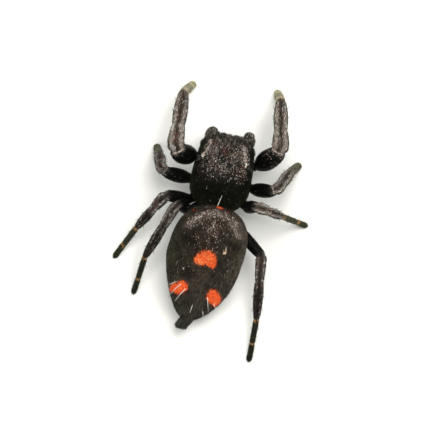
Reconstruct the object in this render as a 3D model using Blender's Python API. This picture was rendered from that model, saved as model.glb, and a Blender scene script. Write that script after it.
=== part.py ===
"""Bold jumping spider (Phidippus audax), a still, life-size model standing on its eight feet.

All shapes are worked out in millimetres in the spider's own frame: the waist (pedicel) is near
X = 0, Y = 0, the head looks towards -Y, the spider's left side is +X and the floor is Z = 0.
The meshes are written in metres. At the end the parent empty moves the whole spider so that
the middle of its footprint is the origin.

The body is divided as a person would name it: carapace, sternum, abdomen, spinnerets, waist,
eight eyes, jaws, fangs, palps, and four pieces to each leg (coxa, femur, patella with tibia,
metatarsus with tarsus). Nothing moves: it is a museum model in one fixed pose.
"""

import math

import bmesh
import bpy
import numpy as np
from mathutils import Matrix, Vector

MM = 0.001  # one millimetre in metres
CUT = 0.03  # width in mm of the thin cut between two neighbouring pieces

# Carapace: the hard shield over the head and chest.
CARAPACE_FRONT = -5.56
CARAPACE_LENGTH = 5.36
CARAPACE_HALF_WIDTH = 2.2
CARAPACE_BOTTOM = 2.78  # lower margin along the sides
FACE_BOTTOM = 3.10  # lower margin of the face
BROW_HEIGHT = 4.62  # top of the face
CROWN_HEIGHT = 5.28  # highest point, between the rear eyes
CROWN_AT = 0.42  # share of the length, from the front
REAR_HEIGHT = 2.98  # top of the rear margin

# Abdomen: an egg, broad in front and drawn out towards the spinnerets.
ABDOMEN_FRONT = -0.60
ABDOMEN_LENGTH = 8.2
ABDOMEN_HALF_WIDTH = 2.75
ABDOMEN_HALF_HEIGHT = 2.22
ABDOMEN_WIDEST_AT = 0.43
ABDOMEN_FRONT_Z = 4.05
FRONT_SWING = 0.28  # how far the front end is swung to the spider's right
REAR_SWING = 0.36  # how far the rear end is swung to the spider's left
ABDOMEN_END = 0.985  # the spinnerets continue the egg from this share of its length

# Eyes: centre of the ball on the left side, and its radius.
EYES = {
    "eye_am": ((0.46, -5.38, 3.84), 0.42),
    "eye_al": ((1.22, -5.12, 4.02), 0.27),
    "eye_pm": ((1.70, -4.28, 4.42), 0.10),
    "eye_pl": ((1.76, -3.48, 4.66), 0.25),
}

# Legs: lengths and half-thicknesses that the two legs of a pair share, in mm.
# root is where the coxa meets the sternum, on the left side.
LEG_PAIRS = {
    1: dict(root=(0.85, -3.85), coxa=1.42, femur=3.02, shin=4.91, foot=2.95,
            thigh=0.75, knee=0.63, shank=0.55, ankle=0.36, sole=0.32),
    2: dict(root=(0.95, -2.95), coxa=1.35, femur=2.98, shin=3.10, foot=2.23,
            thigh=0.54, knee=0.44, shank=0.45, ankle=0.35, sole=0.30),
    3: dict(root=(1.04, -2.05), coxa=1.43, femur=2.58, shin=3.44, foot=3.10,
            thigh=0.48, knee=0.44, shank=0.37, ankle=0.25, sole=0.26),
    4: dict(root=(0.70, -1.04), coxa=1.46, femur=3.13, shin=5.12, foot=3.25,
            thigh=0.45, knee=0.42, shank=0.39, ankle=0.25, sole=0.26),
}
HIP_Z = 2.29
COXA_THICKNESS = (0.31, 0.36, 0.33)  # half-thickness at the sternum, widest and at the hip
KNEE_CREASE = 0.90  # thickness between femur and patella, as a share of the knee's
SHANK_CREASE = 0.88  # thickness between patella and tibia, as a share of the shank's
ANKLE_CREASE = 0.96  # thickness between tibia and metatarsus, as a share of the ankle's
PATELLA_SHARE = 0.4  # the patella's share of the length of patella and tibia together
KNEE_BEND = 1.06  # radius of the bend at the knee, as a share of the knee's half-thickness
HIP_BEND, ANKLE_BEND = 0.36, 0.45  # radii of the bends at hip and ankle
SOLE_PRESS = 0.06  # how much of each round foot tip is pressed flat by the floor

# Pose of each leg, in degrees. A bearing is measured from straight out sideways towards the
# rear; a rise is above the horizontal. The foot's own rise follows from reaching the floor.
# coxa bearing, femur bearing and rise, shin bearing and rise, foot bearing, reach of the shin
POSE = {
    "leg1_left": (-6, 22, 62, -86, -26, -110, 1.08),
    "leg1_right": (-11, -34, 54, -101, -27, -113, 0.91),
    "leg2_left": (27, 7, 48, -69, -57.5, -66, 0.96),
    "leg2_right": (20, 7, 54, -71, -52.5, -63, 1.12),
    "leg3_left": (56, 10, 48, 55.5, -39, 61, 1.07),
    "leg3_right": (41, 10, 74, 0, -49, -2, 0.86),
    "leg4_left": (42, 0, 75.5, 67.5, -38, 82, 1.02),
    "leg4_right": (58.5, 38, 11.3, 82.5, -17, 88.5, 0.88),
}

# Palp, left side: root, elbow, two corners of the knee, wrist and tip.
PALP_ROUTE = (
    (0.94, -4.74, 2.28),
    (1.34, -5.22, 2.34),
    (1.52, -5.51, 3.00),
    (1.38, -5.95, 3.10),
    (1.30, -6.06, 2.50),
    (1.14, -6.06, 1.30),
)
PALP_BENDS = (0.3, 0.33, 0.33, 0.5)  # radius of the bend at each inner point of the route
PALP_DRAWN_BACK = {"left": 0.12, "right": 0.0}  # how far each palp is held back from elbow on

# Jaws: each hangs under the face, a little splayed, and its fang folds inwards below it.
JAW_BOTTOM = 1.34
JAW_X, JAW_SPLAY = 0.475, 0.08  # its middle at the face, and how much further out it ends
JAW_Y, JAW_SLANT = -5.50, -0.06
JAW_HALF_WIDTH, JAW_HALF_DEPTH = 0.30, 0.28  # at the face
JAW_BULGE, JAW_TAPER = (0.14, 0.16), 0.10  # added to width and depth, and lost at the end
FANG_ROUTE = ((0.62, -5.56, 1.31), (0.58, -5.52, 0.98), (0.14, -5.34, 1.04))
FANG_BEND, FANG_THICKNESS = 0.2, (0.13, 0.05)  # half-thickness at the base and at the tip

# Underside: the shield between the coxae, the lip and the two chewing plates before it.
STERNUM_Y, STERNUM_KEEL = -2.5, 1.96
STERNUM_HALF_WIDTH, STERNUM_HALF_LENGTH = 0.85, 1.6
STERNUM_LEVELS = ((2.5, 1.0), (2.15, 0.97), (2.02, 0.85), (STERNUM_KEEL, 0.6))  # height, share
LABIUM_CENTRES = ((0.0, -4.50, 2.30), (0.0, -4.52, 2.12), (0.0, -4.52, 1.98))
ENDITE_Y, ENDITE_LEAN = -4.72, ((0.44, 2.30), (0.44, 2.08), (0.42, 1.86), (0.40, 1.74))  # x, z

# Waist: the stalk from the rear of the carapace to the front of the abdomen.
WAIST_ROUTE = ((0.0, -0.86, 2.45), (-0.1, -0.15, 2.36), (-0.2, 0.10, 2.62))
WAIST_BEND, WAIST_THICKNESS = 0.25, (0.25, 0.20)  # half-thickness in front and behind

# Spinnerets: a blunt stub. How far its tip lies to the left, behind and below its base.
SPINNERET_REACH = (0.32, 0.62, -0.12)
SPINNERET_TAPER = ((0.0, 1.0), (0.35, 0.97), (0.7, 0.86), (0.9, 0.66), (1.0, 0.35))


def make_material(name, colour, roughness):
    material = bpy.data.materials.new(name)
    material.use_nodes = True
    shader = material.node_tree.nodes["Principled BSDF"]
    shader.inputs["Base Color"].default_value = (*colour, 1.0)
    shader.inputs["Roughness"].default_value = roughness
    shader.inputs["Metallic"].default_value = 0.0
    material.diffuse_color = (*colour, 1.0)
    return material


def finish(name, mesh, material, place):
    """Links the mesh as an object set at place, with its points already in place's own frame."""
    mesh.materials.append(material)
    mesh.shade_smooth()
    mesh.set_sharp_from_angle(angle=math.radians(50))
    piece = bpy.data.objects.new(name, mesh)
    bpy.context.collection.objects.link(piece)
    piece.parent = spider
    piece.location = place.to_translation()
    piece.rotation_euler = place.to_euler()
    return piece


def mesh_from_rings(name, rings):
    """Joins a row of rings (row, point, xyz in metres) with quads, and closes both ends."""
    rows, count, _ = rings.shape
    row, col = np.meshgrid(np.arange(rows - 1), np.arange(count), indexing="ij")
    first = row * count + col
    beside = row * count + (col + 1) % count
    quads = np.stack([first, beside, beside + count, first + count], axis=-1).reshape(-1, 4)
    ends = [list(range(count)), list(range((rows - 1) * count, rows * count))]
    mesh = bpy.data.meshes.new(name)
    mesh.from_pydata(rings.reshape(-1, 3).tolist(), [], quads.tolist() + ends)
    work = bmesh.new()
    work.from_mesh(mesh)
    bmesh.ops.recalc_face_normals(work, faces=work.faces)
    work.to_mesh(mesh)
    work.free()
    return mesh


def ring_solid(name, rings, material, start=(0.0, 0.0, 0.0), along=(0.0, 0.0, 1.0)):
    """A solid through rings given in mm. Its origin is at start and its Z axis lies along."""
    turn = Vector(along).to_track_quat("Z", "Y").to_matrix()
    place = Matrix.Translation(Vector(start) * MM) @ turn.to_4x4()
    local = (rings - np.array(start)) @ np.array(turn) * MM
    return finish(name, mesh_from_rings(name, local), material, place)


def superellipse(angle, power):
    """Cosine and sine of a superellipse: power 2 is a circle, more is squarer."""
    cosine = np.sign(np.cos(angle)) * np.abs(np.cos(angle)) ** (2.0 / power)
    sine = np.sign(np.sin(angle)) * np.abs(np.sin(angle)) ** (2.0 / power)
    return cosine, sine


def crowded_shares(count, front, rear):
    """Shares from 0 to 1, crowded towards both ends, which are slightly cut off."""
    even = np.linspace(0.0, 1.0, count)
    front_part = 0.5 * (2.0 * even.clip(0, 0.5)) ** front
    rear_part = 0.5 * (2.0 * (1.0 - even).clip(0, 0.5)) ** rear
    return np.where(even < 0.5, front_part, 1.0 - rear_part).clip(0.0015, 0.9985)


# ---------------------------------------------------------------- carapace and eyes


def carapace_half_width(share):
    """Almost straight sides that spread a little to 60 % of the length, then a round rear."""
    spread = 1.0 - 0.16 * (np.clip(0.6 - share, 0.0, None) / 0.6) ** 1.6
    corner = (1.0 - np.clip(1.0 - share / 0.20, 0.0, None) ** 2.6) ** (1.0 / 2.8)
    round_rear = (1.0 - (np.clip(share - 0.6, 0.0, None) / 0.4) ** 2.6) ** 0.52
    return CARAPACE_HALF_WIDTH * spread * corner * round_rear


def carapace_top(share):
    """Brow, gently rising crown, then the steep slope of the chest down to the rear margin."""
    rise = (CROWN_HEIGHT - BROW_HEIGHT) * np.sin(
        np.clip(share / CROWN_AT, 0.0, 1.0) * math.pi / 2
    )
    fall = (np.clip(share - CROWN_AT, 0.0, None) / (1.0 - CROWN_AT)) ** 2.0
    edge = (1.0 - np.clip(1.0 - share / 0.07, 0.0, None) ** 2.6) ** (1.0 / 2.4)
    top = BROW_HEIGHT + rise - (CROWN_HEIGHT - REAR_HEIGHT) * fall
    return carapace_bottom(share) + (top - carapace_bottom(share)) * edge


def carapace_bottom(share):
    """The lower margin, which rises towards the face to make room for jaws and palps."""
    lift = np.clip((0.28 - share) / 0.15, 0.0, 1.0)
    return CARAPACE_BOTTOM + (FACE_BOTTOM - CARAPACE_BOTTOM) * lift


def make_carapace():
    """Arches over a flat underside, square over the head and rounder over the chest."""
    share = crowded_shares(19, front=2.2, rear=1.7)
    angle = np.linspace(0.0, math.pi, 17)
    squareness = 3.4 - 1.1 * np.clip((share - 0.35) / 0.65, 0.0, 1.0)[:, None]
    cosine, sine = superellipse(angle[None, :], squareness)
    # The sides lean in a little, both towards the top and down to the lower margin.
    lean = 1.0 - 0.10 * sine**2 - 0.05 * np.clip(1.0 - sine / 0.25, 0.0, 1.0)
    x = carapace_half_width(share)[:, None] * cosine * lean
    y = CARAPACE_FRONT + CARAPACE_LENGTH * share[:, None] + 0.0 * x
    bottom = carapace_bottom(share)[:, None]
    z = bottom + (carapace_top(share)[:, None] - bottom) * sine
    return ring_solid("carapace", np.stack([x, y, z], axis=-1), BLACK_SHELL)


def ball(name, centre, radius, sides, look):
    """A ball in mm at centre, whose pole faces the way that the eye looks."""
    mesh = bpy.data.meshes.new(name)
    work = bmesh.new()
    bmesh.ops.create_uvsphere(
        work, u_segments=sides, v_segments=sides // 2 + 1, radius=radius * MM
    )
    work.to_mesh(mesh)
    work.free()
    turn = Vector(look).to_track_quat("Z", "Y").to_matrix().to_4x4()
    return finish(name, mesh, EYE_GLASS, Matrix.Translation(Vector(centre) * MM) @ turn)


def make_eyes(carapace):
    """Each eye is a ball in a socket that is wider than the ball by the thin cut."""
    for kind, (centre, radius) in EYES.items():
        for side, sign in (("left", 1), ("right", -1)):
            place = (sign * centre[0], centre[1], centre[2])
            look = (place[0], 0.25 * place[0] ** 2 - 1.0, 0.3)
            sides = 14 if radius > 0.3 else 12 if radius > 0.2 else 8
            ball(f"{kind}_{side}", place, radius, sides, look)
            socket = ball(f"socket_{kind}_{side}", place, radius + CUT, sides, look)
            socket.hide_render = True
            socket.display_type = "WIRE"
            cut = carapace.modifiers.new(f"socket_{kind}_{side}", "BOOLEAN")
            cut.operation = "DIFFERENCE"
            cut.solver = "EXACT"
            cut.object = socket


# ---------------------------------------------------------------- abdomen and spinnerets


def abdomen_profile(share):
    """Half-width as a share of the widest: a blunt front and a slowly tapering rear."""
    front = np.clip(1.0 - share / ABDOMEN_WIDEST_AT, 0.0, None)
    rear = np.clip(share - ABDOMEN_WIDEST_AT, 0.0, None) / (1.0 - ABDOMEN_WIDEST_AT)
    return (1.0 - front**2.8) ** 0.42 * (1.0 - rear**1.7) ** 0.6


def abdomen_middle(share):
    """Centre line: level in front, bending down to the spinnerets, a little S-bent sideways."""
    x = REAR_SWING * np.clip((share - 0.6) / 0.4, 0.0, None) ** 2.4
    x = x - FRONT_SWING * np.clip(1.0 - share / 0.45, 0.0, None) ** 0.8
    y = ABDOMEN_FRONT + ABDOMEN_LENGTH * share
    z = ABDOMEN_FRONT_Z - 1.15 * share - 1.30 * share**3
    return x, y, z


def make_abdomen():
    share = crowded_shares(21, front=1.9, rear=1.6).clip(None, ABDOMEN_END)
    share = np.unique(share)
    angle = np.linspace(0.0, 2.0 * math.pi, 24, endpoint=False)
    cosine, sine = superellipse(angle[None, :], 2.15)
    middle_x, middle_y, middle_z = abdomen_middle(share)
    profile = abdomen_profile(share)[:, None]
    x = middle_x[:, None] + ABDOMEN_HALF_WIDTH * profile * cosine
    # In front the underside is shallower than the back, where it rises over the chest.
    front = np.clip(1.0 - share / ABDOMEN_WIDEST_AT, 0.0, None)[:, None]
    depth = np.where(sine < 0.0, 1.0 - 0.50 * front, 1.0)
    z = middle_z[:, None] + ABDOMEN_HALF_HEIGHT * profile * sine * depth
    y = middle_y[:, None] + 0.0 * x
    return ring_solid("abdomen", np.stack([x, y, z], axis=-1), BLACK_HAIR)


def make_spinnerets():
    """The bundle of spinnerets, one blunt stub that carries on from the abdomen's tip."""
    x, y, z = abdomen_middle(ABDOMEN_END)
    width = 0.94 * ABDOMEN_HALF_WIDTH * float(abdomen_profile(np.array(ABDOMEN_END)))
    share, taper = np.array(SPINNERET_TAPER).T[:, :, None]
    sideways, backwards, upwards = SPINNERET_REACH
    angle = np.linspace(0.0, 2.0 * math.pi, 14, endpoint=False)
    ring_x = x + sideways * share + width * taper * np.cos(angle)
    ring_y = y + CUT + backwards * share + 0.0 * ring_x
    ring_z = z + upwards * share + 0.85 * width * taper * np.sin(angle)
    rings = np.stack([ring_x, ring_y, ring_z], axis=-1)
    ring_solid("spinnerets", rings, BROWN_SKIN, (x, y, z), SPINNERET_REACH)


# ---------------------------------------------------------------- round bars along a path


def unit(vector):
    return vector / np.linalg.norm(vector)


def rounded_path(corners, radii):
    """Straight runs joined by arcs: the points, their distances, and each arc's middle."""
    points = [corners[0]]
    marks = []
    for before, corner, after, radius in zip(corners, corners[1:], corners[2:], radii):
        ahead = unit(corner - before)
        onward = unit(after - corner)
        turn = math.acos(float(np.clip(ahead @ onward, -1.0, 1.0)))
        side = unit(onward - (onward @ ahead) * ahead)
        start = corner - radius * math.tan(turn / 2) * ahead
        marks.append(len(points) + 8)
        for angle in np.linspace(0.0, turn, 17):
            bow = math.sin(angle) * ahead + (1.0 - math.cos(angle)) * side
            points.append(start + radius * bow)
    points.append(corners[-1])
    points = np.array(points)
    runs = np.linalg.norm(np.diff(points, axis=0), axis=1)
    distance = np.concatenate([[0.0], np.cumsum(runs)])
    return points, distance, [distance[mark] for mark in marks]


def point_on(points, distance, where):
    return np.stack([np.interp(where, distance, points[:, i]) for i in range(3)], axis=-1)


def rings_along(path, stations, facing, thickness, sides):
    """Rings at the stations, square to the path at facing, turning with it without a twist."""
    centres = point_on(*path, stations)
    ahead = point_on(*path, facing + 0.02) - point_on(*path, facing - 0.02)
    angle = np.linspace(0.0, 2.0 * math.pi, sides, endpoint=False)
    up = np.array([0.0, 0.0, 1.0])
    rings = []
    for centre, tangent, radius in zip(centres, ahead, thickness):
        tangent = unit(tangent)
        up = unit(up - (up @ tangent) * tangent)
        across = np.cross(tangent, up)
        rings.append(
            centre + radius * (np.cos(angle)[:, None] * across + np.sin(angle)[:, None] * up)
        )
    return np.array(rings)


def bar(name, path, begin, end, profile, material, rows, round_end=False, sides=10):
    """A piece of a leg or palp between two distances along its path, less the thin cut.

    profile gives the half-thickness at a share of the piece's length. A round end closes like
    a finger tip. What would reach below the floor is pressed flat on it. Both faces at a cut
    are square to the path at the cut's middle, so they are parallel.
    """
    share = np.linspace(0.0, 1.0, rows)
    if round_end:
        share = 1.0 - (1.0 - share) ** 2.0
    thickness = np.array([profile(part) for part in share])
    if round_end:
        inset = np.clip(1.0 - (end - begin) * (1.0 - share) / thickness[-1], 0.0, 0.93)
        thickness = thickness * np.sqrt(1.0 - inset**2)
    stations = begin + CUT / 2 + (end - begin - CUT) * share
    rings = rings_along(path, stations, begin + (end - begin) * share, thickness, sides)
    rings[:, :, 2] = np.maximum(rings[:, :, 2], 0.0)
    start = point_on(*path, begin)
    along = point_on(*path, begin + 0.1) - start
    ring_solid(name, rings, material, start.tolist(), along.tolist())


def swell(low, high, last, peak):
    """Half-thickness that grows from low to high at the peak share, then falls to last."""

    def profile(share):
        if share < peak:
            return low + (high - low) * math.sin(0.5 * math.pi * share / peak)
        down = math.cos(0.5 * math.pi * min(1.0, (share - peak) / (1.0 - peak)))
        return last + (high - last) * abs(down) ** 0.8

    return profile


# ---------------------------------------------------------------- legs


def leg_corners(pair, sign, pose):
    """Root, hip, knee, ankle and toe of one leg, from its lengths and its pose."""
    coxa_bearing, femur_bearing, femur_rise, shin_bearing, shin_rise, foot_bearing, reach = pose

    def heading(bearing, rise):
        b, r = math.radians(bearing), math.radians(rise)
        return np.array([sign * math.cos(r) * math.cos(b), math.cos(r) * math.sin(b), math.sin(r)])

    root = np.array([sign * pair["root"][0], pair["root"][1], HIP_Z])
    hip = root + pair["coxa"] * heading(coxa_bearing, 0.0)
    knee = hip + pair["femur"] * heading(femur_bearing, femur_rise)
    ankle = knee + pair["shin"] * reach * heading(shin_bearing, shin_rise)
    # The tip is a ball of the sole's radius whose lowest point lies just below the floor.
    foot, sole = pair["foot"], pair["sole"]
    toe_z = (sole * (1.0 - ankle[2] / foot) - SOLE_PRESS) / (1.0 - sole / foot)
    foot_fall = math.degrees(math.asin((ankle[2] - toe_z) / foot))
    toe = ankle + foot * heading(foot_bearing, -foot_fall)
    return [root, hip, knee, ankle, toe]


def make_leg(number, side, sign):
    name = f"leg{number}_{side}"
    pair = LEG_PAIRS[number]
    corners = leg_corners(pair, sign, POSE[name])
    bends = (HIP_BEND, KNEE_BEND * pair["knee"], ANKLE_BEND)
    points, distance, (hip, knee, ankle) = rounded_path(corners, bends)
    path = (points, distance)
    thigh, bend, shank, thin = pair["thigh"], pair["knee"], pair["shank"], pair["ankle"]
    coxa = swell(*COXA_THICKNESS, 0.6)
    femur = swell(COXA_THICKNESS[2], thigh, KNEE_CREASE * bend, 0.5)
    patella = swell(KNEE_CREASE * bend, bend, SHANK_CREASE * shank, 0.16)
    calf = swell(SHANK_CREASE * shank, shank, thin, 0.35)
    foot = swell(ANKLE_CREASE * thin, thin, pair["sole"], 0.25)

    def tibia(share):
        if share < PATELLA_SHARE:
            return patella(share / PATELLA_SHARE)
        return calf((share - PATELLA_SHARE) / (1.0 - PATELLA_SHARE))

    bar(f"{name}_coxa", path, 0.0, hip, coxa, BLACK_SHELL, rows=3)
    bar(f"{name}_femur", path, hip, knee, femur, BLACK_HAIR, rows=8)
    bar(f"{name}_tibia", path, knee, ankle, tibia, BLACK_HAIR, rows=9)
    bar(f"{name}_foot", path, ankle, distance[-1], foot, PALE_HAIR, rows=8, round_end=True)


# ---------------------------------------------------------------- mouth parts and underside


def make_palp(side, sign):
    """The feeler beside the jaws: up over its knee, then hanging down in front of the face."""
    back = PALP_DRAWN_BACK[side] * np.array([0.0, 0.0, 1.0, 1.0, 1.0, 1.0])
    corners = [np.array([sign * x, y + b, z]) for (x, y, z), b in zip(PALP_ROUTE, back)]
    points, distance, marks = rounded_path(corners, PALP_BENDS)
    path = (points, distance)
    knee = marks[1]
    arm = swell(0.25, 0.30, 0.34, 0.7)
    hand = swell(0.34, 0.36, 0.26, 0.3)
    bar(f"palp_{side}_arm", path, 0.0, knee, arm, BLACK_HAIR, rows=7)
    bar(f"palp_{side}_hand", path, knee, distance[-1], hand, PALE_HAIR, 9, True)


def stacked_solid(name, centres, half_widths, half_depths, material, sides=14, power=2.4):
    """Level superellipses stacked up in Z, each with its own centre and half-sizes in mm."""
    centres = np.array(centres)[:, None, :]
    angle = np.linspace(0.0, 2.0 * math.pi, sides, endpoint=False)
    cosine, sine = superellipse(angle, power)
    x = centres[:, :, 0] + np.array(half_widths)[:, None] * cosine
    y = centres[:, :, 1] + np.array(half_depths)[:, None] * sine
    rings = np.stack([x, y, centres[:, :, 2] + 0.0 * x], axis=-1)
    ring_solid(name, rings, material, tuple(centres[0, 0].tolist()))


def make_jaw(side, sign):
    """The stout first piece of a chelicera, hanging under the face, and its folded fang."""
    top = FACE_BOTTOM - CUT
    drops = np.array([0.0, 0.12, 0.35, 0.6, 0.82, 0.94, 1.0])
    bulge = np.sin(math.pi * np.clip(drops + 0.12, 0.0, 1.0)) ** 0.5
    width = JAW_HALF_WIDTH + JAW_BULGE[0] * bulge - JAW_TAPER * drops**3
    depth = JAW_HALF_DEPTH + JAW_BULGE[1] * bulge - JAW_TAPER * drops**3
    centres = [
        (sign * (JAW_X + JAW_SPLAY * drop), JAW_Y + JAW_SLANT * drop, top + (JAW_BOTTOM - top) * drop)
        for drop in drops
    ]
    stacked_solid(f"jaw_{side}", centres, width, depth, GREEN_SHELL)
    hook = [np.array([sign * x, y, z]) for x, y, z in FANG_ROUTE]
    points, distance, _ = rounded_path(hook, (FANG_BEND,))
    base, tip = FANG_THICKNESS
    fang = swell(base, base, tip, 0.1)
    bar(f"fang_{side}", (points, distance), 0.0, distance[-1], fang, RED_SHELL, 7, True, 8)


def make_underside():
    """Sternum between the coxae, the lip and the two chewing plates in front of it."""
    levels = [(CARAPACE_BOTTOM - CUT, 0.80), *STERNUM_LEVELS]
    centres = [(0.0, STERNUM_Y, z) for z, _ in levels]
    half_widths = [STERNUM_HALF_WIDTH * part for _, part in levels]
    half_lengths = [STERNUM_HALF_LENGTH * part for _, part in levels]
    stacked_solid("sternum", centres, half_widths, half_lengths, BLACK_SHELL, sides=20, power=2.8)
    stacked_solid("labium", LABIUM_CENTRES, (0.17, 0.17, 0.12), (0.17, 0.2, 0.15), BLACK_SHELL,
                  sides=10)
    for side, sign in (("left", 1), ("right", -1)):
        centres = [(sign * x, ENDITE_Y, z) for x, z in ENDITE_LEAN]
        stacked_solid(f"endite_{side}", centres, (0.21, 0.23, 0.22, 0.14), (0.30, 0.36, 0.33, 0.22),
                      BROWN_SKIN, sides=12)


def make_waist():
    """The short stalk under the rear of the carapace that carries the abdomen."""
    route = [np.array(point) for point in WAIST_ROUTE]
    points, distance, _ = rounded_path(route, (WAIST_BEND,))
    front, rear = WAIST_THICKNESS
    stalk = swell(front, front, rear, 0.3)
    bar("pedicel", (points, distance), 0.0, distance[-1], stalk, BROWN_SKIN, rows=5)


# ---------------------------------------------------------------- the spider

for leftover in list(bpy.data.objects):
    bpy.data.objects.remove(leftover)

BLACK_SHELL = make_material("black_shell", (0.012, 0.011, 0.012), 0.35)
BLACK_HAIR = make_material("black_hair", (0.020, 0.018, 0.018), 0.70)
PALE_HAIR = make_material("pale_hair", (0.30, 0.26, 0.20), 0.75)
GREEN_SHELL = make_material("green_shell", (0.02, 0.12, 0.07), 0.25)
RED_SHELL = make_material("red_shell", (0.10, 0.02, 0.01), 0.30)
BROWN_SKIN = make_material("brown_skin", (0.07, 0.05, 0.04), 0.65)
EYE_GLASS = make_material("eye_glass", (0.004, 0.004, 0.004), 0.05)

spider = bpy.data.objects.new("spider", None)
bpy.context.collection.objects.link(spider)

make_eyes(make_carapace())
make_abdomen()
make_spinnerets()
make_waist()
make_underside()
for side, sign in (("left", 1), ("right", -1)):
    make_palp(side, sign)
    make_jaw(side, sign)
    for number in LEG_PAIRS:
        make_leg(number, side, sign)

# The origin goes to the middle of the footprint, on the floor.
bpy.context.view_layer.update()
points = [
    np.array(piece.matrix_world @ vertex.co)
    for piece in bpy.data.objects
    if piece.type == "MESH" and not piece.hide_render
    for vertex in piece.data.vertices
]
low, high = np.min(points, axis=0), np.max(points, axis=0)
spider.location = (-(low[0] + high[0]) / 2, -(low[1] + high[1]) / 2, 0.0)
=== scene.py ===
"""The looks of a bold jumping spider, a still, life-size museum model.

All shapes are worked out in millimetres in the spider's own frame: the waist is near X = 0,
Y = 0, the head looks towards -Y, the spider's left side is +X and the floor is Z = 0. The
sections follow the animal as it is put together: shield, eyes, abdomen, legs, bristles, palps,
jaws and sternum, waist and spinnerets.
"""

import math
from collections import namedtuple

import bpy
import numpy as np
from mathutils import Matrix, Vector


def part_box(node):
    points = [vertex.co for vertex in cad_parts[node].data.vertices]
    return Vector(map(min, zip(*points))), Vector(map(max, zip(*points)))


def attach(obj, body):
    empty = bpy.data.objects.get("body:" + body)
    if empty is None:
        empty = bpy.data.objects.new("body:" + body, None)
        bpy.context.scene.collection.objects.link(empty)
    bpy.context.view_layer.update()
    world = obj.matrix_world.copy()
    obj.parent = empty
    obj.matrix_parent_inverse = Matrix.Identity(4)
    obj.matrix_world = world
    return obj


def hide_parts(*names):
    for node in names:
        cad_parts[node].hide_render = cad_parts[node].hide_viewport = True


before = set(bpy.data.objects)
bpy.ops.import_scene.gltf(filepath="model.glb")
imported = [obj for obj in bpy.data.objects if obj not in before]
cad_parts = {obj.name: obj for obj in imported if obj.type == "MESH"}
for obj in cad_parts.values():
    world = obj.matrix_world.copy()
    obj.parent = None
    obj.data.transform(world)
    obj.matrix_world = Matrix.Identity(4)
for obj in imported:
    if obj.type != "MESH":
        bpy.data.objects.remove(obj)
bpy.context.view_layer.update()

# ------------------------------------------------------------------ head shield (carapace)
# One hard black shell over head and chest, closed underneath. It is glossy, finely pitted and
# thinly covered with flat hairs and scales, so it lies inside its solid by their depth.

MM = 0.001
CARAPACE_FRONT, CARAPACE_LENGTH, CARAPACE_HALF_WIDTH = -5.56, 5.36, 2.2
CARAPACE_BOTTOM, FACE_BOTTOM = 2.78, 3.10
BROW_HEIGHT, CROWN_HEIGHT, CROWN_AT, REAR_HEIGHT = 4.62, 5.28, 0.42, 2.98
SHELL_COAT = 0.05  # depth of the coat on the shield
BLACK = (0.0025, 0.0025, 0.0025)
SIDES = (("left", 1.0), ("right", -1.0))  # of the spider, with the sign of X
EYES = {  # centre on the left side, radius
    "am": ((0.46, -5.38, 3.84), 0.42),
    "al": ((1.22, -5.12, 4.02), 0.27),
    "pm": ((1.70, -4.28, 4.42), 0.10),
    "pl": ((1.76, -3.48, 4.66), 0.25),
}
ALL_EYES = [(f"{kind}_{side}", np.array([sign * x, y, z]), radius)
            for kind, ((x, y, z), radius) in EYES.items() for side, sign in SIDES]

# The spider's own origin lies on the floor, straight behind the middle of its two large eyes.
left_eye, right_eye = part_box("eye_am_left"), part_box("eye_am_right")
eyes_middle = np.mean([list(corner) for corner in (*left_eye, *right_eye)], axis=0)
HOME = np.array([eyes_middle[0], eyes_middle[1] - EYES["am"][0][1] * MM, 0.0])
chance = np.random.default_rng(7)


def in_row_frame(points):
    """Millimetres in the spider's frame to metres in the row's frame."""
    return np.asarray(points) * MM + HOME


def unit(vectors):
    """The same directions with a length of 1."""
    return vectors / np.linalg.norm(vectors, axis=-1, keepdims=True)


def bell(distance, width):
    """1 at distance 0, falling smoothly to nothing a little past the width."""
    return np.exp(-((distance / width) ** 2))


def ramp(value, start, width):
    """0 at the start, growing evenly to 1 a width further on; a width below 0 looks back."""
    return np.clip((value - start) / width, 0.0, 1.0)


def positive(value):
    """The value itself, but 0 where it is below 0."""
    return np.clip(value, 0.0, None)


def blend(first, second, share):
    """The first value where the share is 0, the second where it is 1, evenly between them."""
    return first + (np.asarray(second) - first) * np.asarray(share)[..., None]


def ripple(points, size, seed=0.0):
    """Cloudy values from -1 to 1: products of sines that turn and shrink, two octaves."""
    x, y, z = np.moveaxis(np.asarray(points) / size, -1, 0)
    coarse = np.sin(x * 2.1 + 1.3 * np.sin(y * 1.7 + seed)) * np.sin(y * 2.3 + 1.1 * np.sin(z * 1.9))
    fine = np.sin(x * 5.3 + z * 3.1 + seed) * np.sin(y * 4.7 - x * 2.9 + 1.7 * seed)
    return 0.65 * coarse + 0.35 * fine


def grains(points, size, seed=0.0):
    """A number from 0 to 1 for each little bent cube of the given size: a large sine's fraction."""
    askew = np.array([[0.80, 0.43, 0.42], [-0.53, 0.83, 0.17], [-0.28, -0.36, 0.89]])
    cube = np.floor((points @ askew + 0.05 * np.sin(points[..., [1, 2, 0]] * 9.0)) / size + seed)
    value = np.sin(cube @ np.array([12.99, 78.23, 37.72])) * 43758.5
    return value - np.floor(value)


def in_scene(name, data):
    """A new object in the scene, with its mesh, lamp or camera."""
    made = bpy.data.objects.new(name, data)
    bpy.context.scene.collection.objects.link(made)
    return made


def new_piece(name, mesh, material, nodes=()):
    """Puts a finished mesh in the scene, rides it with the part and replaces its CAD nodes."""
    mesh.materials.append(material)
    mesh.polygons.foreach_set("use_smooth", np.ones(len(mesh.polygons), bool))
    piece = in_scene(name, mesh)
    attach(piece, "root")
    if nodes:
        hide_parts(*nodes)
    return piece


def set_tint(mesh, tint):
    """Stores one colour for each vertex, which the materials read as the tint."""
    layer = mesh.color_attributes.new("tint", "FLOAT_COLOR", "POINT")
    layer.data.foreach_set("color", np.append(tint, np.ones((len(tint), 1)), axis=1).ravel())


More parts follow.
